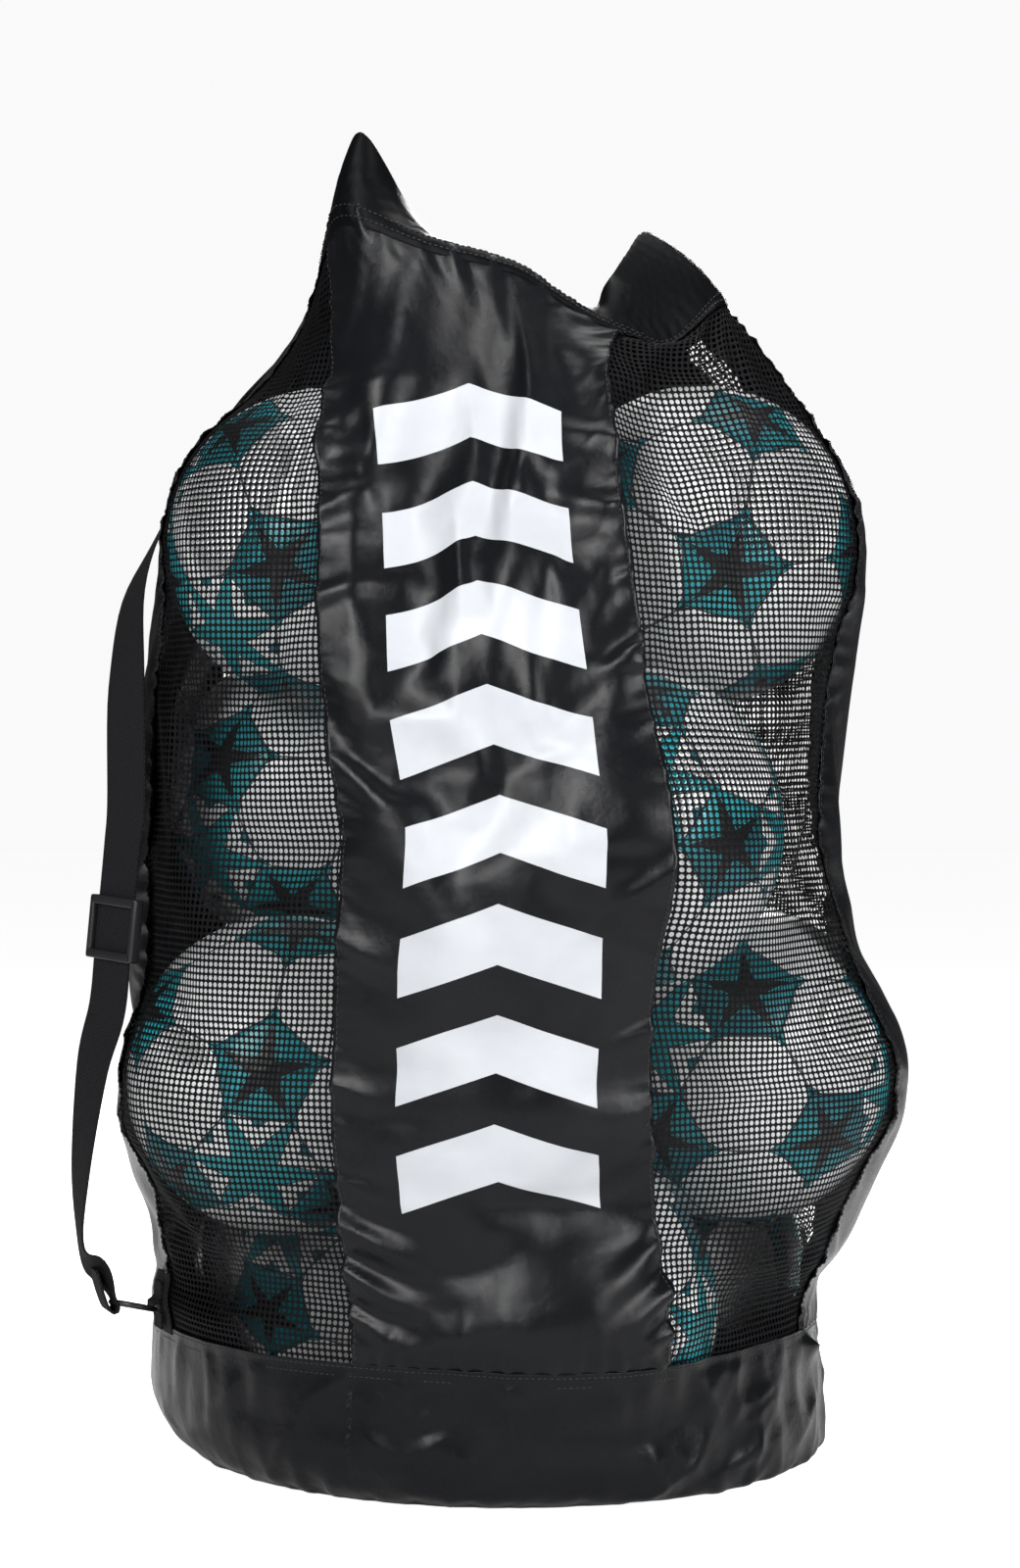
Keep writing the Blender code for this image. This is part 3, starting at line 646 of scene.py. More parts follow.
def hem(cloth):
    """Drawcord hem: double nylon from the mouth seam up, over the rim and down inside."""
    ring = np.arange(0, COLUMNS, 0.4)
    outer = np.concatenate([[MOUTH_ROW - 1.0], np.linspace(MOUTH_ROW - 0.9, RIM_ROW, 22)])
    puff = 0.0010 + 0.0012 * np.sin(np.pi * np.clip((outer - MOUTH_ROW + 0.5) / (HEM_CELLS + 0.5), 0, 1))
    puff[0] = 0.0003
    steps = [(r, p, 0.0) for r, p in zip(outer, puff)]
    for angle in np.linspace(0, np.pi, 7)[1:-1]:
        radius = (HEM_T + puff[-1]) / 2
        steps.append((RIM_ROW, puff[-1] - radius + radius * np.cos(angle), radius * np.sin(angle)))
    steps += [(r, -HEM_T, 0.0) for r in np.linspace(RIM_ROW, MOUTH_ROW - 0.4, 16)]
    up = unit(ring_at(cloth, RIM_ROW, ring)[0] - ring_at(cloth, RIM_ROW - 1, ring)[0])
    around = arc(np.concatenate([cloth[MOUTH_ROW], cloth[MOUTH_ROW, :1]]))
    s = np.interp(ring, np.arange(COLUMNS + 1), around)
    ripple = 0.0007 * (0.5 + 0.5 * np.sin(2 * np.pi * s / 0.0118 + 1.5 * np.sin(s * 43)))
    rows, uv, run = [], [], 0.0
    for r, lift, over in steps:
        near = math.exp(-abs(r - MOUTH_ROW) / 1.4) if lift > 0 else 0.0
        points, normal = ring_at(cloth, r, ring)
        points = points + normal * (lift + ripple * near)[:, None] + up * over
        if rows:
            run += float(np.linalg.norm(points - rows[-1], axis=1).mean())
        rows.append(points)
        uv.append(np.stack([s, np.full(s.shape, run)], 1))
    obj = mesh_object("mouth_hem", np.concatenate(rows), grid_faces(len(rows), len(ring), closed=True),
                      uv=np.concatenate(uv))
    lines = []
    for r in (MOUTH_ROW - 0.45, MOUTH_ROW + 0.35):
        points, normal = ring_at(cloth, r, ring)
        lines.append((points + normal * (0.0016 + ripple * 0.8)[:, None], normal))
    return obj, lines, (around[-1], 2 * HEM_HIGH)


# ---- stitches ----------------------------------------------------------------------
def stitch_verts(centre, along, normal):
    """Ten corners of one thread stitch, a slim lozenge lying on the cloth."""
    side = unit(np.cross(normal, along))
    verts = [centre - along * STITCH_LONG / 2 - normal * 0.0003]
    for end in (-0.3, 0.3):
        for a in range(4):
            turn = math.pi / 4 + a * math.pi / 2
            verts.append(centre + along * STITCH_LONG * end
                         + (side * math.cos(turn) + normal * math.sin(turn)) * 0.00036)
    return verts + [centre + along * STITCH_LONG / 2 - normal * 0.0003]


def stitching(name, lines, closed=False):
    """Rows of stitches along lines of points with their normals."""
    verts, faces = [], []
    for points, normals in lines:
        if closed:
            points = np.concatenate([points, points[:1]])
            normals = np.concatenate([normals, normals[:1]])
        run = arc(points)
        count = int(run[-1] / STITCH_STEP)
        at = (np.arange(count) + 0.5) * run[-1] / count
        along = unit(read_line(at + 0.001, run, points) - read_line(at - 0.001, run, points))
        normal = unit(read_line(at, run, normals))
        for c, d, n in zip(read_line(at, run, points), along, normal):
            k = len(verts)
            verts += stitch_verts(c, d, n)
            for a in range(4):
                b = (a + 1) % 4
                faces += [(k, k + 1 + b, k + 1 + a), (k + 9, k + 5 + a, k + 5 + b),
                          (k + 1 + a, k + 1 + b, k + 5 + b, k + 5 + a)]
    return mesh_object(name, np.array(verts), faces)


def gore_stitching(gores):
    """A row of stitches just inside each long edge of each nylon gore."""
    lines = []
    for gore in gores:
        if not gore.nylon:
            continue
        for side in (-1, 1):
            t = np.arange(gore.low + 0.002, gore.high, 0.002)
            lines.append(gore.point(side * (gore.width_at(t) / 2 - 0.0026), t, 0.0002))
    return stitching("gore_stitching", lines)


# ---- generic print -----------------------------------------------------------------
PRINT_W = 0.130
PRINT_STROKE = 0.038
PRINT_STEP = 0.0700
PRINT_SLOPE = 0.36
PRINT_COUNT = 8
PRINT_LOW = 0.131       # above the band seam
PRINT_SHIFT = 0.004


def chevron_print(gore):
    """Column of plain white chevrons printed on the front gore."""
    across = np.linspace(-PRINT_W / 2, PRINT_W / 2, 61)
    up = np.linspace(0, PRINT_STROKE, 19)
    verts, faces, uv = [], [], []
    for k in range(PRINT_COUNT):
        a, b = np.meshgrid(across, up)
        t = gore.low + PRINT_LOW + k * PRINT_STEP + b - np.abs(a) * PRINT_SLOPE
        points, _ = gore.point(a + PRINT_SHIFT, t, 0.00035)
        faces.append(grid_faces(len(up), len(across)) + len(verts) * len(up) * len(across))
        verts.append(points.reshape(-1, 3))
        uv.append(np.stack([a, t], -1).reshape(-1, 2))
    return mesh_object("front_print", np.concatenate(verts), np.concatenate(faces),
                       uv=np.concatenate(uv))


# ---- balls -------------------------------------------------------------------------
# a panel is cut into one kite for each corner; a and b run from its middle to its edges
KITE_STEPS = np.array([0, 0.2, 0.4, 0.58, 0.74, 0.86, 0.94, 0.975, 1.0])
SEAM_SINK = 0.0011


def icosahedron():
    """Unit corner points and the triangles of a regular icosahedron."""
    g = (1 + 5**0.5) / 2
    corners = unit([p for a in (-1, 1) for b in (-g, g) for p in ((0, a, b), (a, b, 0), (b, 0, a))])
    edge = min(np.linalg.norm(corners[0] - corners[k]) for k in range(1, 12))
    near = [[j for j in range(12) if j != i and np.linalg.norm(corners[i] - corners[j]) < edge * 1.1]
            for i in range(12)]
    triangles = [(i, j, k) for i in range(12) for j in near[i] for k in near[i]
                 if i < j < k and k in near[j]]
    return corners, near, triangles


def ball_panels():
    """Corner loops of the 12 five-sided and 20 six-sided panels, and which kind each is."""
    corners, near, triangles = icosahedron()
    panels = []
    for i in range(12):
        panels.append(([(2 * corners[i] + corners[j]) / 3 for j in near[i]], 2))
    for number, (i, j, k) in enumerate(triangles):
        loop = [(2 * corners[a] + corners[b]) / 3
                for a, b in ((i, j), (j, i), (j, k), (k, j), (k, i), (i, k))]
        panels.append((loop, 4 if number % 5 == 2 else 0))
    ordered = []
    for loop, kind in panels:
        loop = np.array(loop)
        middle = unit(loop.mean(axis=0))
        side = unit(loop[0] - middle * np.dot(loop[0], middle))
        turn = np.arctan2(loop @ np.cross(middle, side), loop @ side)
        ordered.append((loop[np.argsort(turn)], kind))
    return ordered


def football(name, centre, turn, panels):
    """Ball of 32 stitched panels; the panel's own a and b are kept as UV for its colours."""
    a, b = np.meshgrid(KITE_STEPS, KITE_STEPS, indexing="ij")
    edge = np.maximum(a, b)
    sink = SEAM_SINK * np.clip((edge - 0.90) / 0.10, 0, 1) ** 2
    verts, faces, uv = [], [], []
    cell = grid_faces(len(KITE_STEPS), len(KITE_STEPS))
    for loop, kind in panels:
        middle = loop.mean(axis=0)
        for k in range(len(loop)):
            before = (loop[k] + loop[k - 1]) / 2
            after = (loop[k] + loop[(k + 1) % len(loop)]) / 2
            flat = (((1 - a) * (1 - b))[..., None] * middle + (a * (1 - b))[..., None] * before
                    + (a * b)[..., None] * loop[k] + ((1 - a) * b)[..., None] * after)
            faces.append(cell + len(verts) * a.size)
            verts.append((unit(flat) * (BALL_R - sink)[..., None]).reshape(-1, 3))
            uv.append(np.stack([a + kind, b], -1).reshape(-1, 2))
    spin = np.array(Matrix.Rotation(turn[0], 3, "X") @ Matrix.Rotation(turn[1], 3, "Y")
                    @ Matrix.Rotation(turn[2], 3, "Z"))
    points = np.concatenate(verts) @ spin.T + centre
    return mesh_object(name, points, np.concatenate(faces), uv=np.concatenate(uv))


# ---- strap -------------------------------------------------------------------------
# centre of the webbing and the way its face looks, from its top to just above the ring
STRAP_ROUTE = [
    ((-0.190, 0.073, 0.737), (-0.68, 0.36, 0.64)),
    ((-0.217, 0.052, 0.702), (-0.84, 0.16, 0.52)),
    ((-0.242, 0.014, 0.655), (-0.92, -0.16, 0.34)),
    ((-0.261, -0.037, 0.600), (-0.84, -0.52, 0.14)),
    ((-0.262, -0.078, 0.535), (-0.68, -0.73, 0.00)),
    ((-0.2605, -0.092, 0.452), (-0.66, -0.75, 0.00)),
    ((-0.2635, -0.092, 0.420), (-0.70, -0.71, 0.00)),
    ((-0.2695, -0.092, 0.356), (-0.70, -0.71, -0.06)),
    ((-0.2735, -0.092, 0.313), (-0.70, -0.71, -0.06)),
    ((-0.284, -0.090, 0.272), (-0.78, -0.62, -0.08)),
    ((-0.293, -0.084, 0.200), (-0.90, -0.40, -0.06)),
    ((-0.293, -0.080, 0.150), (-0.96, -0.22, -0.16)),
]
SLIDE_SPAN = (6, 7)     # the slide sits between these two points of the route
ADJUSTER_AT = (-0.2685, -0.0920, 0.3665)
STRAP_STEPS = 6         # samples between two points of a webbing's path
STRAP_END_RUN = 0.014   # webbing above the stud's middle, sewn to the sack
STRAP_END_RISE = 0.006  # webbing's middle out from the stud's middle
RING_R = 0.0170
RING_ROD = 0.0040
TAB_W = 0.0190          # webbing loop that holds the ring
ROD_WRAP = RING_ROD / 2 + WEB_T / 2 + 0.0003
PATCH_LIFT = 0.0020
PATCH_T = 0.0014
UPRIGHT = np.array([0, 0, 1.0])


def spline(points):
    """Smooth open curve through points."""
    p = np.array(points, float)
    p = np.concatenate([[2 * p[0] - p[1]], p, [2 * p[-1] - p[-2]]])
    span = np.repeat(np.arange(1, len(p) - 2), STRAP_STEPS)
    share = np.tile(np.arange(STRAP_STEPS) / STRAP_STEPS, len(p) - 3)
    span, share = np.append(span, len(p) - 3), np.append(share, 1.0)
    weights = cubic_weights(share)
    return sum(weights[k][:, None] * p[span + k - 1] for k in range(4))


def webbing(name, path, half_width):
    """Webbing along a path of centres and facing directions, with rounded woven edges."""
    centre = spline([p for p, _ in path])
    face = unit(spline([f for _, f in path]))
    tangent = unit(np.gradient(centre, axis=0))
    side = unit(np.cross(tangent, face))
    face = unit(np.cross(side, tangent))
    run = arc(centre)
    count = int(run[-1] / 0.003)
    at = np.linspace(0, run[-1], count)
    centre, side, face = [read_line(at, run, v) for v in (centre, side, face)]
    edge = [(0.985, 0.36), (1.0, 0.0), (0.985, -0.36)]
    profile = [(x, 0.5) for x in np.linspace(-0.96, 0.96, 13)] + edge
    profile += [(-x, -depth) for x, depth in profile]
    across, depth = np.array(profile).T
    ribs = 1 + 0.10 * np.cos(across * math.pi * 6)
    points = (centre[:, None] + side[:, None] * (half_width(at)[:, None] * across)[..., None]
              + face[:, None] * (WEB_T * depth * ribs)[None, :, None])
    size = len(profile)
    faces = grid_faces(count, size, closed=True).tolist()
    faces += [list(range(size)), list(range((count - 1) * size, count * size))[::-1]]
    girth = np.cumsum(np.abs(np.diff(across, prepend=across[0]))) * WEB_W / 2
    uv = np.stack(np.meshgrid(girth, at), -1).reshape(-1, 2)
    return mesh_object(name, points.reshape(-1, 3), faces, uv=uv), (centre, side, face)


def box_stitches(name, corner, right, down, normal, size):
    """Sewn box with a cross in it, on the face of a webbing end."""
    w, h = size
    at = [corner, corner + right * w, corner + right * w + down * h, corner + down * h]
    runs = [(0, 1), (1, 2), (2, 3), (3, 0), (0, 2), (1, 3)]
    lines = []
    for a, b in runs:
        share = np.linspace(0, 1, 30)[:, None]
        lines.append((at[a] * (1 - share) + at[b] * share, np.repeat(normal[None], 30, 0)))
    return stitching(name, lines)


def rounded_box(low, high, radius):
    """Box with rounded edges, as points and faces."""
    bm = bmesh.new()
    bmesh.ops.create_cube(bm, size=1)
    size = np.array(high) - np.array(low)
    for v in bm.verts:
        v.co = Vector((np.array(v.co) + 0.5) * size + np.array(low))
    bmesh.ops.bevel(bm, geom=list(bm.edges), offset=radius, segments=4, profile=0.5, affect="EDGES",
                    clamp_overlap=True)
    bm.verts.index_update()
    verts = np.array([v.co for v in bm.verts])
    faces = [[v.index for v in f.verts] for f in bm.faces]
    bm.free()
    return verts, faces


def joined(boxes):
    """Points and faces of several rounded boxes; each is its low and high corner and its radius."""
    verts, faces = [], []
    for low, high, radius in boxes:
        v, f = rounded_box(low, high, radius)
        faces += [[n + len(verts) for n in loop] for loop in f]
        verts += list(v)
    return np.array(verts), faces


def adjuster_slide():
    """Moulded slide: two thick side rails, two front bars and a middle bar behind."""
    above, below = (STRAP_ROUTE[k] for k in SLIDE_SPAN)
    along = unit(np.array(above[0]) - np.array(below[0]))
    side = unit(np.cross(along, below[1]))
    face = unit(np.cross(side, along))
    half_w, half_h, deep = 0.0245, 0.0215, 0.0042
    slot, front = WEB_W / 2 + 0.0008, WEB_T / 2 + 0.0010
    verts, faces = joined([
        ((-half_w, -half_h, -deep), (-slot, half_h, deep), 0.0017),
        ((slot, -half_h, -deep), (half_w, half_h, deep), 0.0017),
        ((-half_w + 0.001, half_h - 0.0060, front), (half_w - 0.001, half_h, deep), 0.0009),
        ((-half_w + 0.001, -half_h, front), (half_w - 0.001, -half_h + 0.0060, deep), 0.0009),
        ((-half_w + 0.001, -0.0038, -deep), (half_w - 0.001, 0.0038, -front), 0.0009),
    ])
    verts = verts @ np.array([side, along, face]) + ADJUSTER_AT
    return mesh_object("adjuster_slide_body", verts, faces)


def torus(name, centre, axis, radius, rod, sides=48, around=16):
    """Round rod bent into a ring."""
    turn = Vector(axis).to_track_quat("Z", "Y").to_matrix()
    a = np.linspace(0, 2 * np.pi, sides, endpoint=False)
    b = np.linspace(0, 2 * np.pi, around, endpoint=False)
    a, b = np.meshgrid(a, b, indexing="ij")
    reach = radius - rod / 2 + rod / 2 * np.cos(b)
    points = np.stack([reach * np.cos(a), reach * np.sin(a), rod / 2 * np.sin(b)], -1).reshape(-1, 3)
    faces = grid_faces(sides + 1, around, closed=True) % (sides * around)
    return mesh_object(name, points @ np.array(turn).T + np.array(centre), faces)


# ---- sewn anchors ------------------------------------------------------------------
class Surface:
    """Finds the row and column of the draped cloth that is nearest a point."""

    def __init__(self, cloth):
        self.cloth = cloth
        self.rows = np.arange(0, len(cloth) - 1, 0.25)
        self.cols = np.arange(0, COLUMNS, 0.25)
        self.fine = sample(cloth, self.rows[:, None], self.cols[None])

    def find(self, point):
        far = ((self.fine - point) ** 2).sum(axis=-1)
        i, j = np.unravel_index(far.argmin(), far.shape)
        return self.rows[i], self.cols[j]

    def patch(self, name, centre, right, down, size):
        """Cloth patch of a size, laid on the draped cloth round a centre."""
        corners = []
        for a, b in ((-1, -1), (1, -1), (1, 1), (-1, 1)):
            corners.append(self.find(centre + right * a * size[0] / 2 + down * b * size[1] / 2))
        a, b = np.meshgrid(np.linspace(0, 1, 15), np.linspace(0, 1, 15))
        weights = [(1 - a) * (1 - b), a * (1 - b), a * b, (1 - a) * b]
        row = sum(w * c[0] for w, c in zip(weights, corners))
        col = sum(w * c[1] for w, c in zip(weights, corners))
        normal = outward(self.cloth, row, col)
        points = sample(self.cloth, row, col) + normal * PATCH_LIFT
        uv = np.stack([a * size[0], b * size[1]], -1).reshape(-1, 2)
        obj = mesh_object(name, points.reshape(-1, 3), grid_faces(15, 15), uv=uv)
        across, along = points[0, -1] - points[0, 0], points[-1, 0] - points[0, 0]
        if np.dot(np.cross(across, along), normal[7, 7]) < 0:
            obj.data.flip_normals()
        thicken(obj, PATCH_T)
        return obj


# ---- materials ---------------------------------------------------------------------
class Look:
    """A Principled material with short calls for the nodes that drive it."""

    def __init__(self, name, colour, roughness, **sockets):
        self.material = bpy.data.materials.new(name)
        self.material.use_nodes = True
        self.nodes = self.material.node_tree.nodes
        self.links = self.material.node_tree.links
        self.shader = self.nodes["Principled BSDF"]
        self.shader.inputs["Base Color"].default_value = (*colour, 1)
        self.shader.inputs["Roughness"].default_value = roughness
        for socket, value in sockets.items():
            self.shader.inputs[socket.replace("_", " ")].default_value = value

    def node(self, kind, **values):
        """New node with some of its settings."""
        made = self.nodes.new(kind)
        for key, value in values.items():
            setattr(made, key, value)
        return made

    def link(self, source, target):
        self.links.new(source, target)

    def cloth_place(self, size, turn=0.0):
        """UV coordinates counted in steps of a size, turned in their plane."""
        mapping = self.node("ShaderNodeMapping")
        mapping.inputs["Scale"].default_value = (1 / size,) * 3
        mapping.inputs["Rotation"].default_value = (0, 0, turn)
        self.link(self.node("ShaderNodeTexCoord").outputs["UV"], mapping.inputs["Vector"])
        return mapping.outputs["Vector"]

    def noise(self, scale, detail=3.0):
        """Noise on the piece's own coordinates."""
        made = self.node("ShaderNodeTexNoise")
        made.inputs["Scale"].default_value = scale
        made.inputs["Detail"].default_value = detail
        self.link(self.node("ShaderNodeTexCoord").outputs["Object"], made.inputs["Vector"])
        return made.outputs["Fac"]

    def wave(self, coordinates, direction):
        """Bands across a direction, for yarns and ribs."""
        made = self.node("ShaderNodeTexWave", bands_direction=direction)
        made.inputs["Scale"].default_value = 0.3
        self.link(coordinates, made.inputs["Vector"])
        return made.outputs["Fac"]

    def math(self, operation, a, b=0.0):
        """Math node; a and b are numbers or other nodes' outputs."""
        made = self.node("ShaderNodeMath", operation=operation)
        for socket, value in zip(made.inputs, (a, b)):
            if isinstance(value, (int, float)):
                socket.default_value = value
            else:
                self.link(value, socket)
        return made.outputs[0]

    def mix(self, mask, low, high, blend="MIX"):
        """Colour mix; the mask is a number or another node's output."""
        made = self.node("ShaderNodeMix", data_type="RGBA", blend_type=blend)
        if isinstance(mask, float):
            made.inputs["Factor"].default_value = mask
        else:
            self.link(mask, made.inputs["Factor"])
        self.link(low, made.inputs[6])
        self.link(high, made.inputs[7])
        return made.outputs[2]

    def ramp(self, fac, stops, smooth=True):
        """Colour ramp; stops are (place, colour)."""
        made = self.node("ShaderNodeValToRGB")
        made.color_ramp.interpolation = "LINEAR" if smooth else "CONSTANT"
        while len(made.color_ramp.elements) < len(stops):
            made.color_ramp.elements.new(1.0)
        for element, (place, colour) in zip(made.color_ramp.elements, stops):
            element.position = place
            element.color = (*colour, 1)
        self.link(fac, made.inputs["Fac"])
        return made.outputs["Color"]

    def colour_from(self, colour):
        self.link(colour, self.shader.inputs["Base Color"])

    def mottle(self, scale, dark, light, detail=3.0):
        """Base colour that wanders between two colours."""
        self.colour_from(self.ramp(self.noise(scale, detail), [(0.3, dark), (0.7, light)]))

    def roughness_from(self, fac, low, high):
        """Roughness that wanders between two values."""
        made = self.node("ShaderNodeMapRange")
        made.inputs["To Min"].default_value = low
        made.inputs["To Max"].default_value = high
        self.link(fac, made.inputs["Value"])
        self.link(made.outputs["Result"], self.shader.inputs["Roughness"])

    def bump(self, height, distance, strength=1.0):
        """Adds a bump; calls stack on each other."""
        made = self.node("ShaderNodeBump")
        made.inputs["Distance"].default_value = distance
        made.inputs["Strength"].default_value = strength
        self.link(height, made.inputs["Height"])
        before = self.shader.inputs["Normal"]
        if before.is_linked:
            self.link(before.links[0].from_socket, made.inputs["Normal"])
        self.link(made.outputs["Normal"], before)


def nylon_look(name, colour, roughness, crumple=0.0006, gloss=0.14):
    """Coated plain-weave nylon: satin, with a fine grid of yarns and soft crumples."""
    look = Look(name, colour, roughness, Specular_IOR_Level=gloss)
    look.mottle(14, [c * 0.80 for c in colour], [c * 1.25 for c in colour], 4)
    look.roughness_from(look.noise(38), roughness - 0.05, roughness + 0.07)
    look.bump(look.noise(62), crumple * 1.6, 0.5)
    look.bump(look.noise(260, 2), crumple * 0.25, 0.5)
    yarn = look.cloth_place(0.0006)
    weave = look.math("MULTIPLY", look.wave(yarn, "X"), look.wave(yarn, "Y"))
    look.bump(weave, 0.00006, 0.6)
    return look.material


def mesh_look():
    """Knitted polyester mesh: matt black."""
    look = Look("mesh_cloth", (0.003, 0.003, 0.003), 0.60, Specular_IOR_Level=0.07)
    look.mottle(30, (0.002, 0.002, 0.002), (0.004, 0.004, 0.005))
    look.bump(look.wave(look.cloth_place(0.0011, 0.78), "X"), 0.0001, 0.7)
    return look.material


def print_look():
    """White print film, dull, with the nylon's crumples showing through."""
    look = Look("print_white", (0.33, 0.34, 0.36), 0.46, Specular_IOR_Level=0.30)
    look.mottle(20, (0.31, 0.32, 0.34), (0.355, 0.365, 0.385))
    look.roughness_from(look.noise(70), 0.36, 0.50)
    look.bump(look.noise(62), 0.0009, 0.5)
    return look.material


def webbing_look():
    """Polypropylene webbing: matt black with a slanting rib weave."""
    look = Look("webbing", (0.006, 0.006, 0.007), 0.78, Specular_IOR_Level=0.12)
    slant = look.wave(look.cloth_place(0.0022, 0.72), "X")
    ribs = look.wave(look.cloth_place(0.0012), "Y")
    look.colour_from(look.ramp(slant, [(0.2, (0.003, 0.003, 0.004)), (0.8, (0.008, 0.008, 0.009))]))
    look.roughness_from(look.noise(80), 0.70, 0.88)
    look.bump(slant, 0.0005, 0.8)
    look.bump(ribs, 0.0002, 0.7)
    return look.material


def plastic_look(name, colour, roughness):
    """Moulded plastic with a fine spark-eroded grain."""
    look = Look(name, colour, roughness, Specular_IOR_Level=0.35)
    look.roughness_from(look.noise(120), roughness - 0.06, roughness + 0.08)
    look.mottle(30, [c * 0.85 for c in colour], [c * 1.2 for c in colour])
    look.bump(look.noise(1400, 2), 0.00008, 0.6)
    return look.material


def thread_look():
    """Black bonded thread."""
    look = Look("thread", (0.010, 0.010, 0.011), 0.55, Specular_IOR_Level=0.30)
    look.bump(look.noise(2200, 2), 0.0001, 0.8)
    look.mottle(400, (0.008, 0.008, 0.009), (0.018, 0.018, 0.020))
    return look.material


WHITE = (0.84, 0.85, 0.86)
TEAL = (0.020, 0.33, 0.38)
DEEP_TEAL = (0.008, 0.14, 0.18)
BALL_BLACK = (0.010, 0.011, 0.013)


def ball_look():
    """White grained cover; the panels' own coordinates place the teal and black accents."""
    look = Look("ball_cover", WHITE, 0.33, Coat_Weight=0.15, Coat_Roughness=0.25)
    split = look.node("ShaderNodeSeparateXYZ")
    look.link(look.node("ShaderNodeTexCoord").outputs["UV"], split.inputs[0])
    pairs = look.math("FLOOR", look.math("MULTIPLY", split.outputs[0], 0.49999))
    kind = look.math("MULTIPLY", pairs, 2)
    a = look.math("SUBTRACT", split.outputs[0], kind)
    b = split.outputs[1]
    corner = look.math("MULTIPLY", look.math("ADD", a, b), 0.5)
    edge = look.math("MAXIMUM", a, b)
    star = look.math("SUBTRACT", edge, look.math("MULTIPLY", look.math("MINIMUM", a, b), 0.62))
    plain = look.ramp(corner, [(0, WHITE), (0.835, BALL_BLACK), (0.860, TEAL), (0.915, DEEP_TEAL),
                               (0.960, BALL_BLACK)], False)
    shade = look.ramp(look.noise(9, 2), [(0.38, DEEP_TEAL), (0.62, TEAL)])
    five = look.ramp(star, [(0, BALL_BLACK), (0.30, TEAL), (0.335, BALL_BLACK), (0.36, DEEP_TEAL)], False)
    big = look.ramp(star, [(0, TEAL), (0.40, BALL_BLACK), (0.43, WHITE), (0.80, DEEP_TEAL)], False)
    five = look.mix(look.math("GREATER_THAN", star, 0.36), five, shade)
    colour = look.mix(look.math("GREATER_THAN", kind, 1), plain, five)
    colour = look.mix(look.math("GREATER_THAN", kind, 3), colour, big)
    groove = look.ramp(edge, [(0, (1, 1, 1)), (0.972, (0.13, 0.14, 0.15))], False)
    look.colour_from(look.mix(1.0, colour, groove, "MULTIPLY"))
    grain = look.node("ShaderNodeTexVoronoi")
    grain.inputs["Scale"].default_value = 650
    look.link(look.node("ShaderNodeTexCoord").outputs["Object"], grain.inputs["Vector"])
    look.bump(grain.outputs["Distance"], 0.00025, 0.5)
    look.roughness_from(look.noise(60, 2), 0.28, 0.40)
    return look.material


# ---- putting it together -----------------------------------------------------------
def finish_piece(obj, body, material, replaced=()):
    """Paints a piece, hides what it stands for and fixes it to its body."""
    obj.data.materials.clear()
    obj.data.materials.append(material)
    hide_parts(*replaced)
    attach(obj, body)
    return obj


def box_centre(node):
    """Middle of a CAD node's box."""
    return np.array(sum(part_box(node), Vector()) / 2)


def make_gores(cloth, rest, looks):
    """The eight gores, the stitches along their seams and the print on the front one."""
    gores = [Gore(cloth, rest, k, name.startswith("panel")) for k, name in enumerate(GORES)]
    stitches = finish_piece(gore_stitching(gores), "sack", looks["thread"])
    printed = finish_piece(chevron_print(gores[0]), "sack", looks["print"])
    body = slice(BAND_CELLS, MOUTH_ROW + 1)
    for gore, name in zip(gores, GORES):
        if gore.nylon:
            piece = nylon_gore(gore, name + "_nylon")
            finish_piece(piece, "sack", looks["nylon"], [name])
        else:
            piece = mesh_gore(gore, name + "_net")
            finish_piece(piece, "sack", looks["mesh"], [name])


def make_base(cloth, rest, looks):
    """The base band with its seam, and the round bottom."""
    band, seams, size = base_band(cloth, rest)
    finish_piece(band, "sack", looks["band"], ["base_band"])
    seam = finish_piece(stitching("band_stitching", seams, closed=True), "sack",
                        looks["thread"])
    bottom = finish_piece(base_sheet(cloth), "sack", looks["base"], ["base_disc"])
    thicken(bottom, 0.0008)


def make_mouth(cloth, looks):
    """The drawcord hem with its seam, and the two eyelets at its back."""
    cuff, seams, size = hem(cloth)
    finish_piece(cuff, "sack", looks["hem"], ["mouth_casing"])
    seam = finish_piece(stitching("hem_stitching", seams, closed=True), "sack",
                        looks["thread"])
    for side in ("left", "right"):
        centre = box_centre("eyelet_" + side)
        inward = unit(np.array([0, 0, centre[2] - 0.03]) - centre)
        ring = torus("eyelet_ring_" + side, centre, inward, 0.0060, 0.0026, 40, 12)
        finish_piece(ring, "sack", looks["eyelet"], ["eyelet_" + side])


def make_balls(look):
    """The footballs, each turned its own way."""
    panels = ball_panels()
    for k, (name, centre) in enumerate(BALLS.items()):
        ball = football(name + "_cover", centre, (0.5 + 1.9 * k, 0.3 + 1.1 * k, 2.3 * k), panels)
        finish_piece(ball, "sack", look, [name])


def strap_half_width(at):
    """Half width of the strap: it is gathered narrower where it passes round the ring."""
    return np.interp(at[-1] - at, [0, 0.050, 0.085], [0.0115, 0.0115, WEB_W / 2])


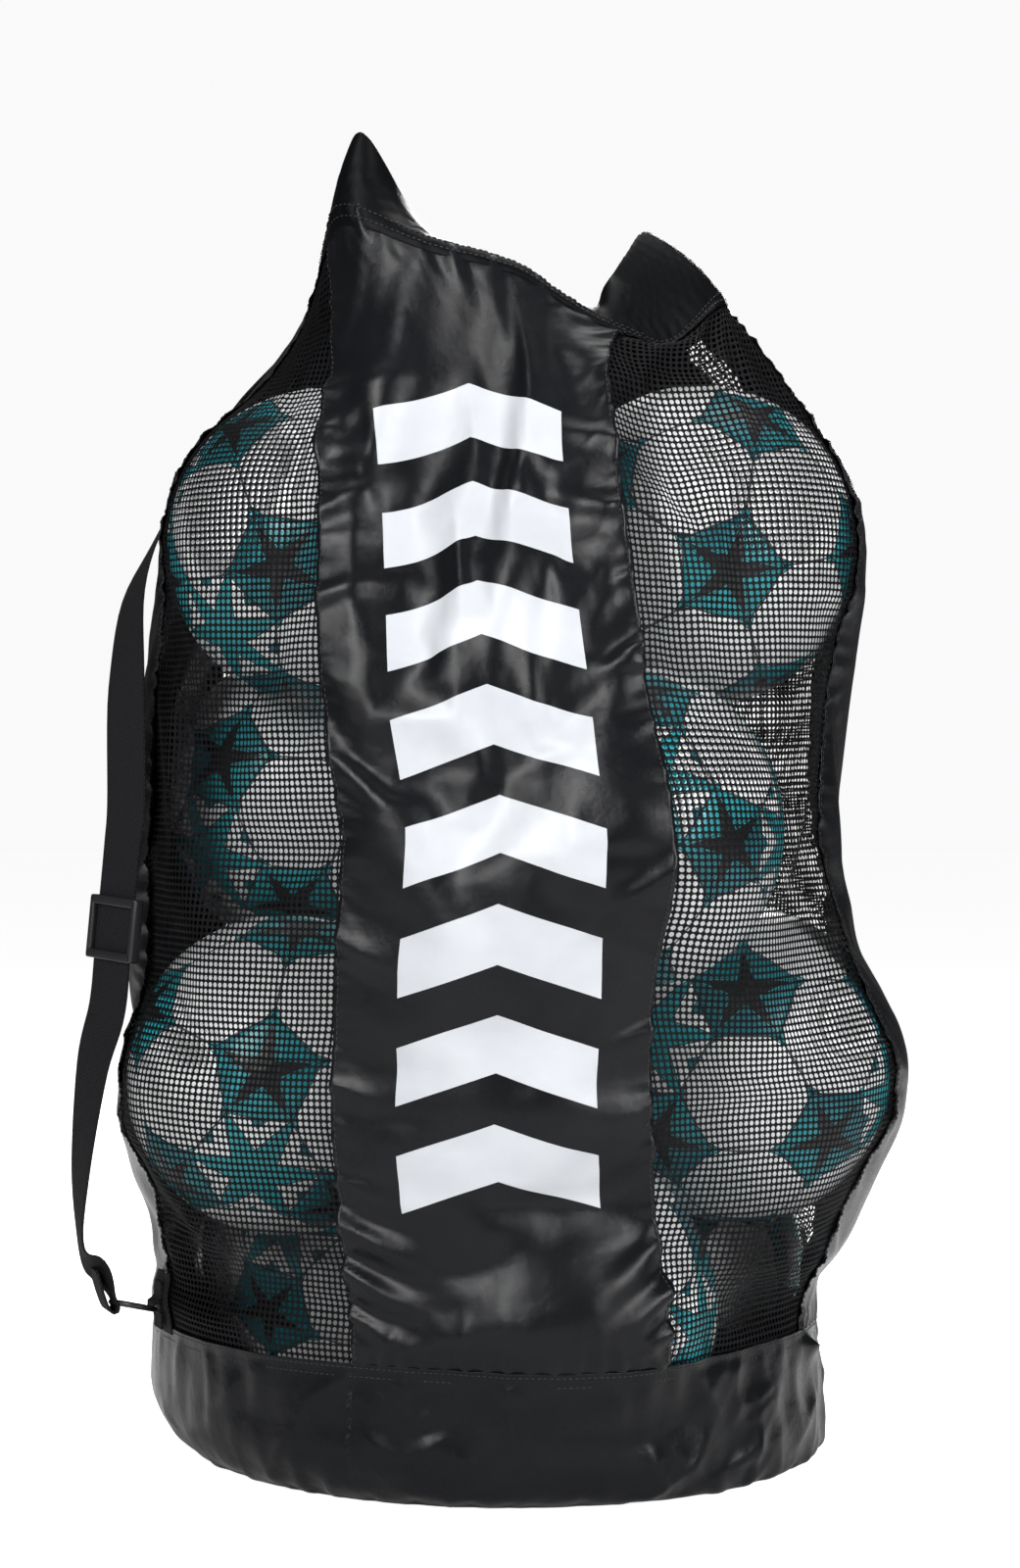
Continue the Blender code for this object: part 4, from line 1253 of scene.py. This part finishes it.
def strap_path(stud, normal, down, ring, level):
    """From the sewn upper end, down the route, then round the ring's rod and back on itself."""
    top = stud + normal * STRAP_END_RISE
    rod = ring + level * (RING_R - RING_ROD / 2)
    pull = unit(level * 0.40 + UPRIGHT * 0.92)
    out = unit(np.cross(np.cross(pull, level), pull))
    return [
        (top - down * STRAP_END_RUN, normal),
        (top, normal),
        *STRAP_ROUTE,
        (rod + pull * 0.026 - out * ROD_WRAP * 0.6, unit(out + np.array([0, -0.45, 0]))),
        (rod + pull * 0.007 - out * ROD_WRAP, out),
        (rod - out * ROD_WRAP, out),
        (rod - pull * ROD_WRAP, pull),
        (rod + out * ROD_WRAP, -out),
        (rod + pull * 0.010 + out * ROD_WRAP, -out),
        (rod + pull * 0.030 + out * 0.0008, -out),
    ]


def make_upper_end(surface, foot, across, down, normal, looks):
    """Patch on the sack under the strap's upper end, and the folded pad between the two."""
    patch = surface.patch("strap_patch_upper", foot, across, down, (0.050, 0.056))
    finish_piece(patch, "sack", looks["webbing"], ["strap_anchor_upper"])
    layers = []
    for k, inset in enumerate((0.0, 0.0008, 0.0004)):
        low = 0.0010 + 0.0020 * k
        layers.append(((-0.0150 + inset, -0.0130 + inset, low),
                       (0.0150 - inset, 0.0130 - inset, low + 0.0019), 0.0008))
    verts, faces = joined(layers)
    pad = mesh_object("strap_end_pad", foot + verts @ np.array([across, down, normal]), faces)
    finish_piece(pad, "sack", looks["webbing"], ["strap_stud"])


def make_ring(surface, ring, axis, level, looks):
    """Ring at the strap's lower end, the patch under it and the webbing loop that holds it."""
    finish_piece(torus("strap_ring_rod", ring, axis, RING_R, RING_ROD), "sack",
                 looks["plastic"], ["strap_ring"])
    foot = sample(surface.cloth, *surface.find(ring - level * 0.02))
    patch = surface.patch("strap_patch_lower", foot, np.cross(UPRIGHT, level), UPRIGHT, (0.034, 0.042))
    finish_piece(patch, "sack", looks["webbing"], ["strap_anchor_lower"])
    near = ring - level * (RING_R - RING_ROD / 2)
    gap = float(np.dot(near - foot, level)) - 0.0028
    path = [
        (near - level * gap + UPRIGHT * 0.016, level - UPRIGHT * 0.2),
        (near - level * gap * 0.9 + UPRIGHT * 0.006, level),
        (near + UPRIGHT * ROD_WRAP - level * 0.001, UPRIGHT),
        (near + level * ROD_WRAP, level),
        (near - UPRIGHT * ROD_WRAP - level * 0.001, -UPRIGHT),
        (near - level * gap * 0.9 - UPRIGHT * 0.006, level),
        (near - level * gap - UPRIGHT * 0.016, level),
    ]
    loop, _ = webbing("ring_tab", path, lambda at: np.full(len(at), TAB_W / 2))
    finish_piece(loop, "sack", looks["webbing"])


def make_strap(surface, looks):
    """The webbing strap, its two ends and its slide."""
    stud, ring = box_centre("strap_stud"), box_centre("strap_ring")
    foot = sample(surface.cloth, *surface.find(stud))
    normal = unit(stud - foot)
    down = unit(np.array(STRAP_ROUTE[0][0]) - (stud + normal * STRAP_END_RISE))
    level = unit((ring - sample(surface.cloth, *surface.find(ring))) * [1, 1, 0])
    path = strap_path(stud, normal, down, ring, level)
    strap, (centre, side, face) = webbing("strap_webbing", path, strap_half_width)
    finish_piece(strap, "strap", looks["webbing"], ["strap_upper", "strap_lower"])
    corner = centre[2] + face[2] * (WEB_T / 2 + 0.0002) - side[2] * (WEB_W / 2 - 0.005)
    box = box_stitches("strap_end_stitching", corner, side[2], unit(centre[8] - centre[2]), face[2],
                       (WEB_W - 0.010, 0.020))
    finish_piece(box, "strap", looks["thread"])
    make_upper_end(surface, foot, unit(np.cross(down, normal)), down, normal, looks)
    make_ring(surface, ring, unit(stud - ring), level, looks)
    finish_piece(adjuster_slide(), "adjuster", looks["plastic"], ["strap_adjuster"])


# ---- stage -------------------------------------------------------------------------
CAMERA_BACK = 2.30
CAMERA_HEIGHT = 0.48
CAMERA_DROP = math.radians(0.397)
LENS_MM = 74.7
SENSOR_MM = 36
FLOOR_SIZE = 30
FLOOR_GLOW = 0.89       # only the camera sees it, so it lights nothing
FILL_LIGHT = 0.08       # world light on the object; the backdrop it shows is brighter
BACKGROUND = 0.95
LIT_POINT = (0, 0, 0.45)
# place, size across and up, watts; each light faces LIT_POINT
LIGHTS = {
    "key_left": ((-1.1, -2.0, 1.5), (0.5, 1.2), 74),
    "key_right": ((1.5, -1.7, 1.2), (0.5, 1.2), 64),
    "top": ((0.1, 0.2, 2.2), (1.2, 1.2), 26),
    "back": ((0.3, 2.3, 1.5), (1.0, 1.2), 72),
}


def area_light(name, place, size, watts):
    """Soft box of a size that faces the sack."""
    light = bpy.data.lights.new(name, "AREA")
    light.energy = watts
    light.shape = "RECTANGLE"
    light.size, light.size_y = size
    obj = bpy.data.objects.new(name, light)
    bpy.context.scene.collection.objects.link(obj)
    obj.location = place
    obj.rotation_euler = (Vector(LIT_POINT) - Vector(place)).to_track_quat("-Z", "Y").to_euler()


def make_camera():
    """Camera in front of the sack, level with its middle."""
    lens = bpy.data.cameras.new("camera")
    lens.sensor_width = SENSOR_MM
    lens.lens = LENS_MM
    camera = bpy.data.objects.new("camera", lens)
    bpy.context.scene.collection.objects.link(camera)
    camera.location = (0, -CAMERA_BACK, CAMERA_HEIGHT)
    camera.rotation_euler = (math.pi / 2 - CAMERA_DROP, 0, 0)
    bpy.context.scene.camera = camera
    bpy.context.scene.view_settings.view_transform = "Standard"


def make_floor():
    """Pale floor that the camera sees as the backdrop's white."""
    bpy.ops.mesh.primitive_plane_add(size=FLOOR_SIZE)
    floor = bpy.context.object
    floor.name = "floor"
    paint = Look("floor_paint", (0.80, 0.80, 0.80), 0.7, Emission_Color=(1, 1, 1, 1))
    seen = paint.node("ShaderNodeLightPath").outputs["Is Camera Ray"]
    paint.link(paint.math("MULTIPLY", seen, FLOOR_GLOW), paint.shader.inputs["Emission Strength"])
    floor.data.materials.append(paint.material)


def make_world():
    """White backdrop that gives the sack only a little light."""
    world = bpy.data.worlds.new("studio")
    world.use_nodes = True
    nodes, links = world.node_tree.nodes, world.node_tree.links
    nodes["Background"].inputs["Color"].default_value = (1, 1, 1, 1)
    strength = nodes.new("ShaderNodeMapRange")
    strength.inputs["To Min"].default_value = FILL_LIGHT
    strength.inputs["To Max"].default_value = BACKGROUND
    links.new(nodes.new("ShaderNodeLightPath").outputs["Is Camera Ray"], strength.inputs["Value"])
    links.new(strength.outputs["Result"], nodes["Background"].inputs["Strength"])
    bpy.context.scene.world = world


def make_looks():
    """Every material but the balls'."""
    return {
        "nylon": nylon_look("nylon", (0.0034, 0.0037, 0.0045), 0.27),
        "band": nylon_look("nylon_band", (0.0036, 0.0039, 0.0047), 0.25, 0.0009, 0.11),
        # painted shade: the hem's nylon gets about half the gores' colour, so the whole hem is as dark as
        # its shaded inside
        "hem": nylon_look("nylon_hem_painted_shade", (0.0018, 0.0020, 0.0024), 0.42, 0.0006, 0.05),
        "base": nylon_look("nylon_base", (0.0080, 0.0080, 0.0090), 0.50),
        "mesh": mesh_look(),
        "print": print_look(),
        "thread": thread_look(),
        "webbing": webbing_look(),
        "plastic": plastic_look("slide_plastic", (0.007, 0.007, 0.008), 0.38),
        "eyelet": plastic_look("eyelet_metal", (0.030, 0.030, 0.032), 0.35),
    }


def main():
    make_camera()
    make_floor()
    make_world()
    for name, settings in LIGHTS.items():
        area_light(name, *settings)
    looks = make_looks()
    rest = start_grid()
    cloth = ease(drape(rest))
    make_gores(cloth, rest, looks)
    make_base(cloth, rest, looks)
    make_mouth(cloth, looks)
    make_balls(ball_look())
    make_strap(Surface(cloth), looks)


main()
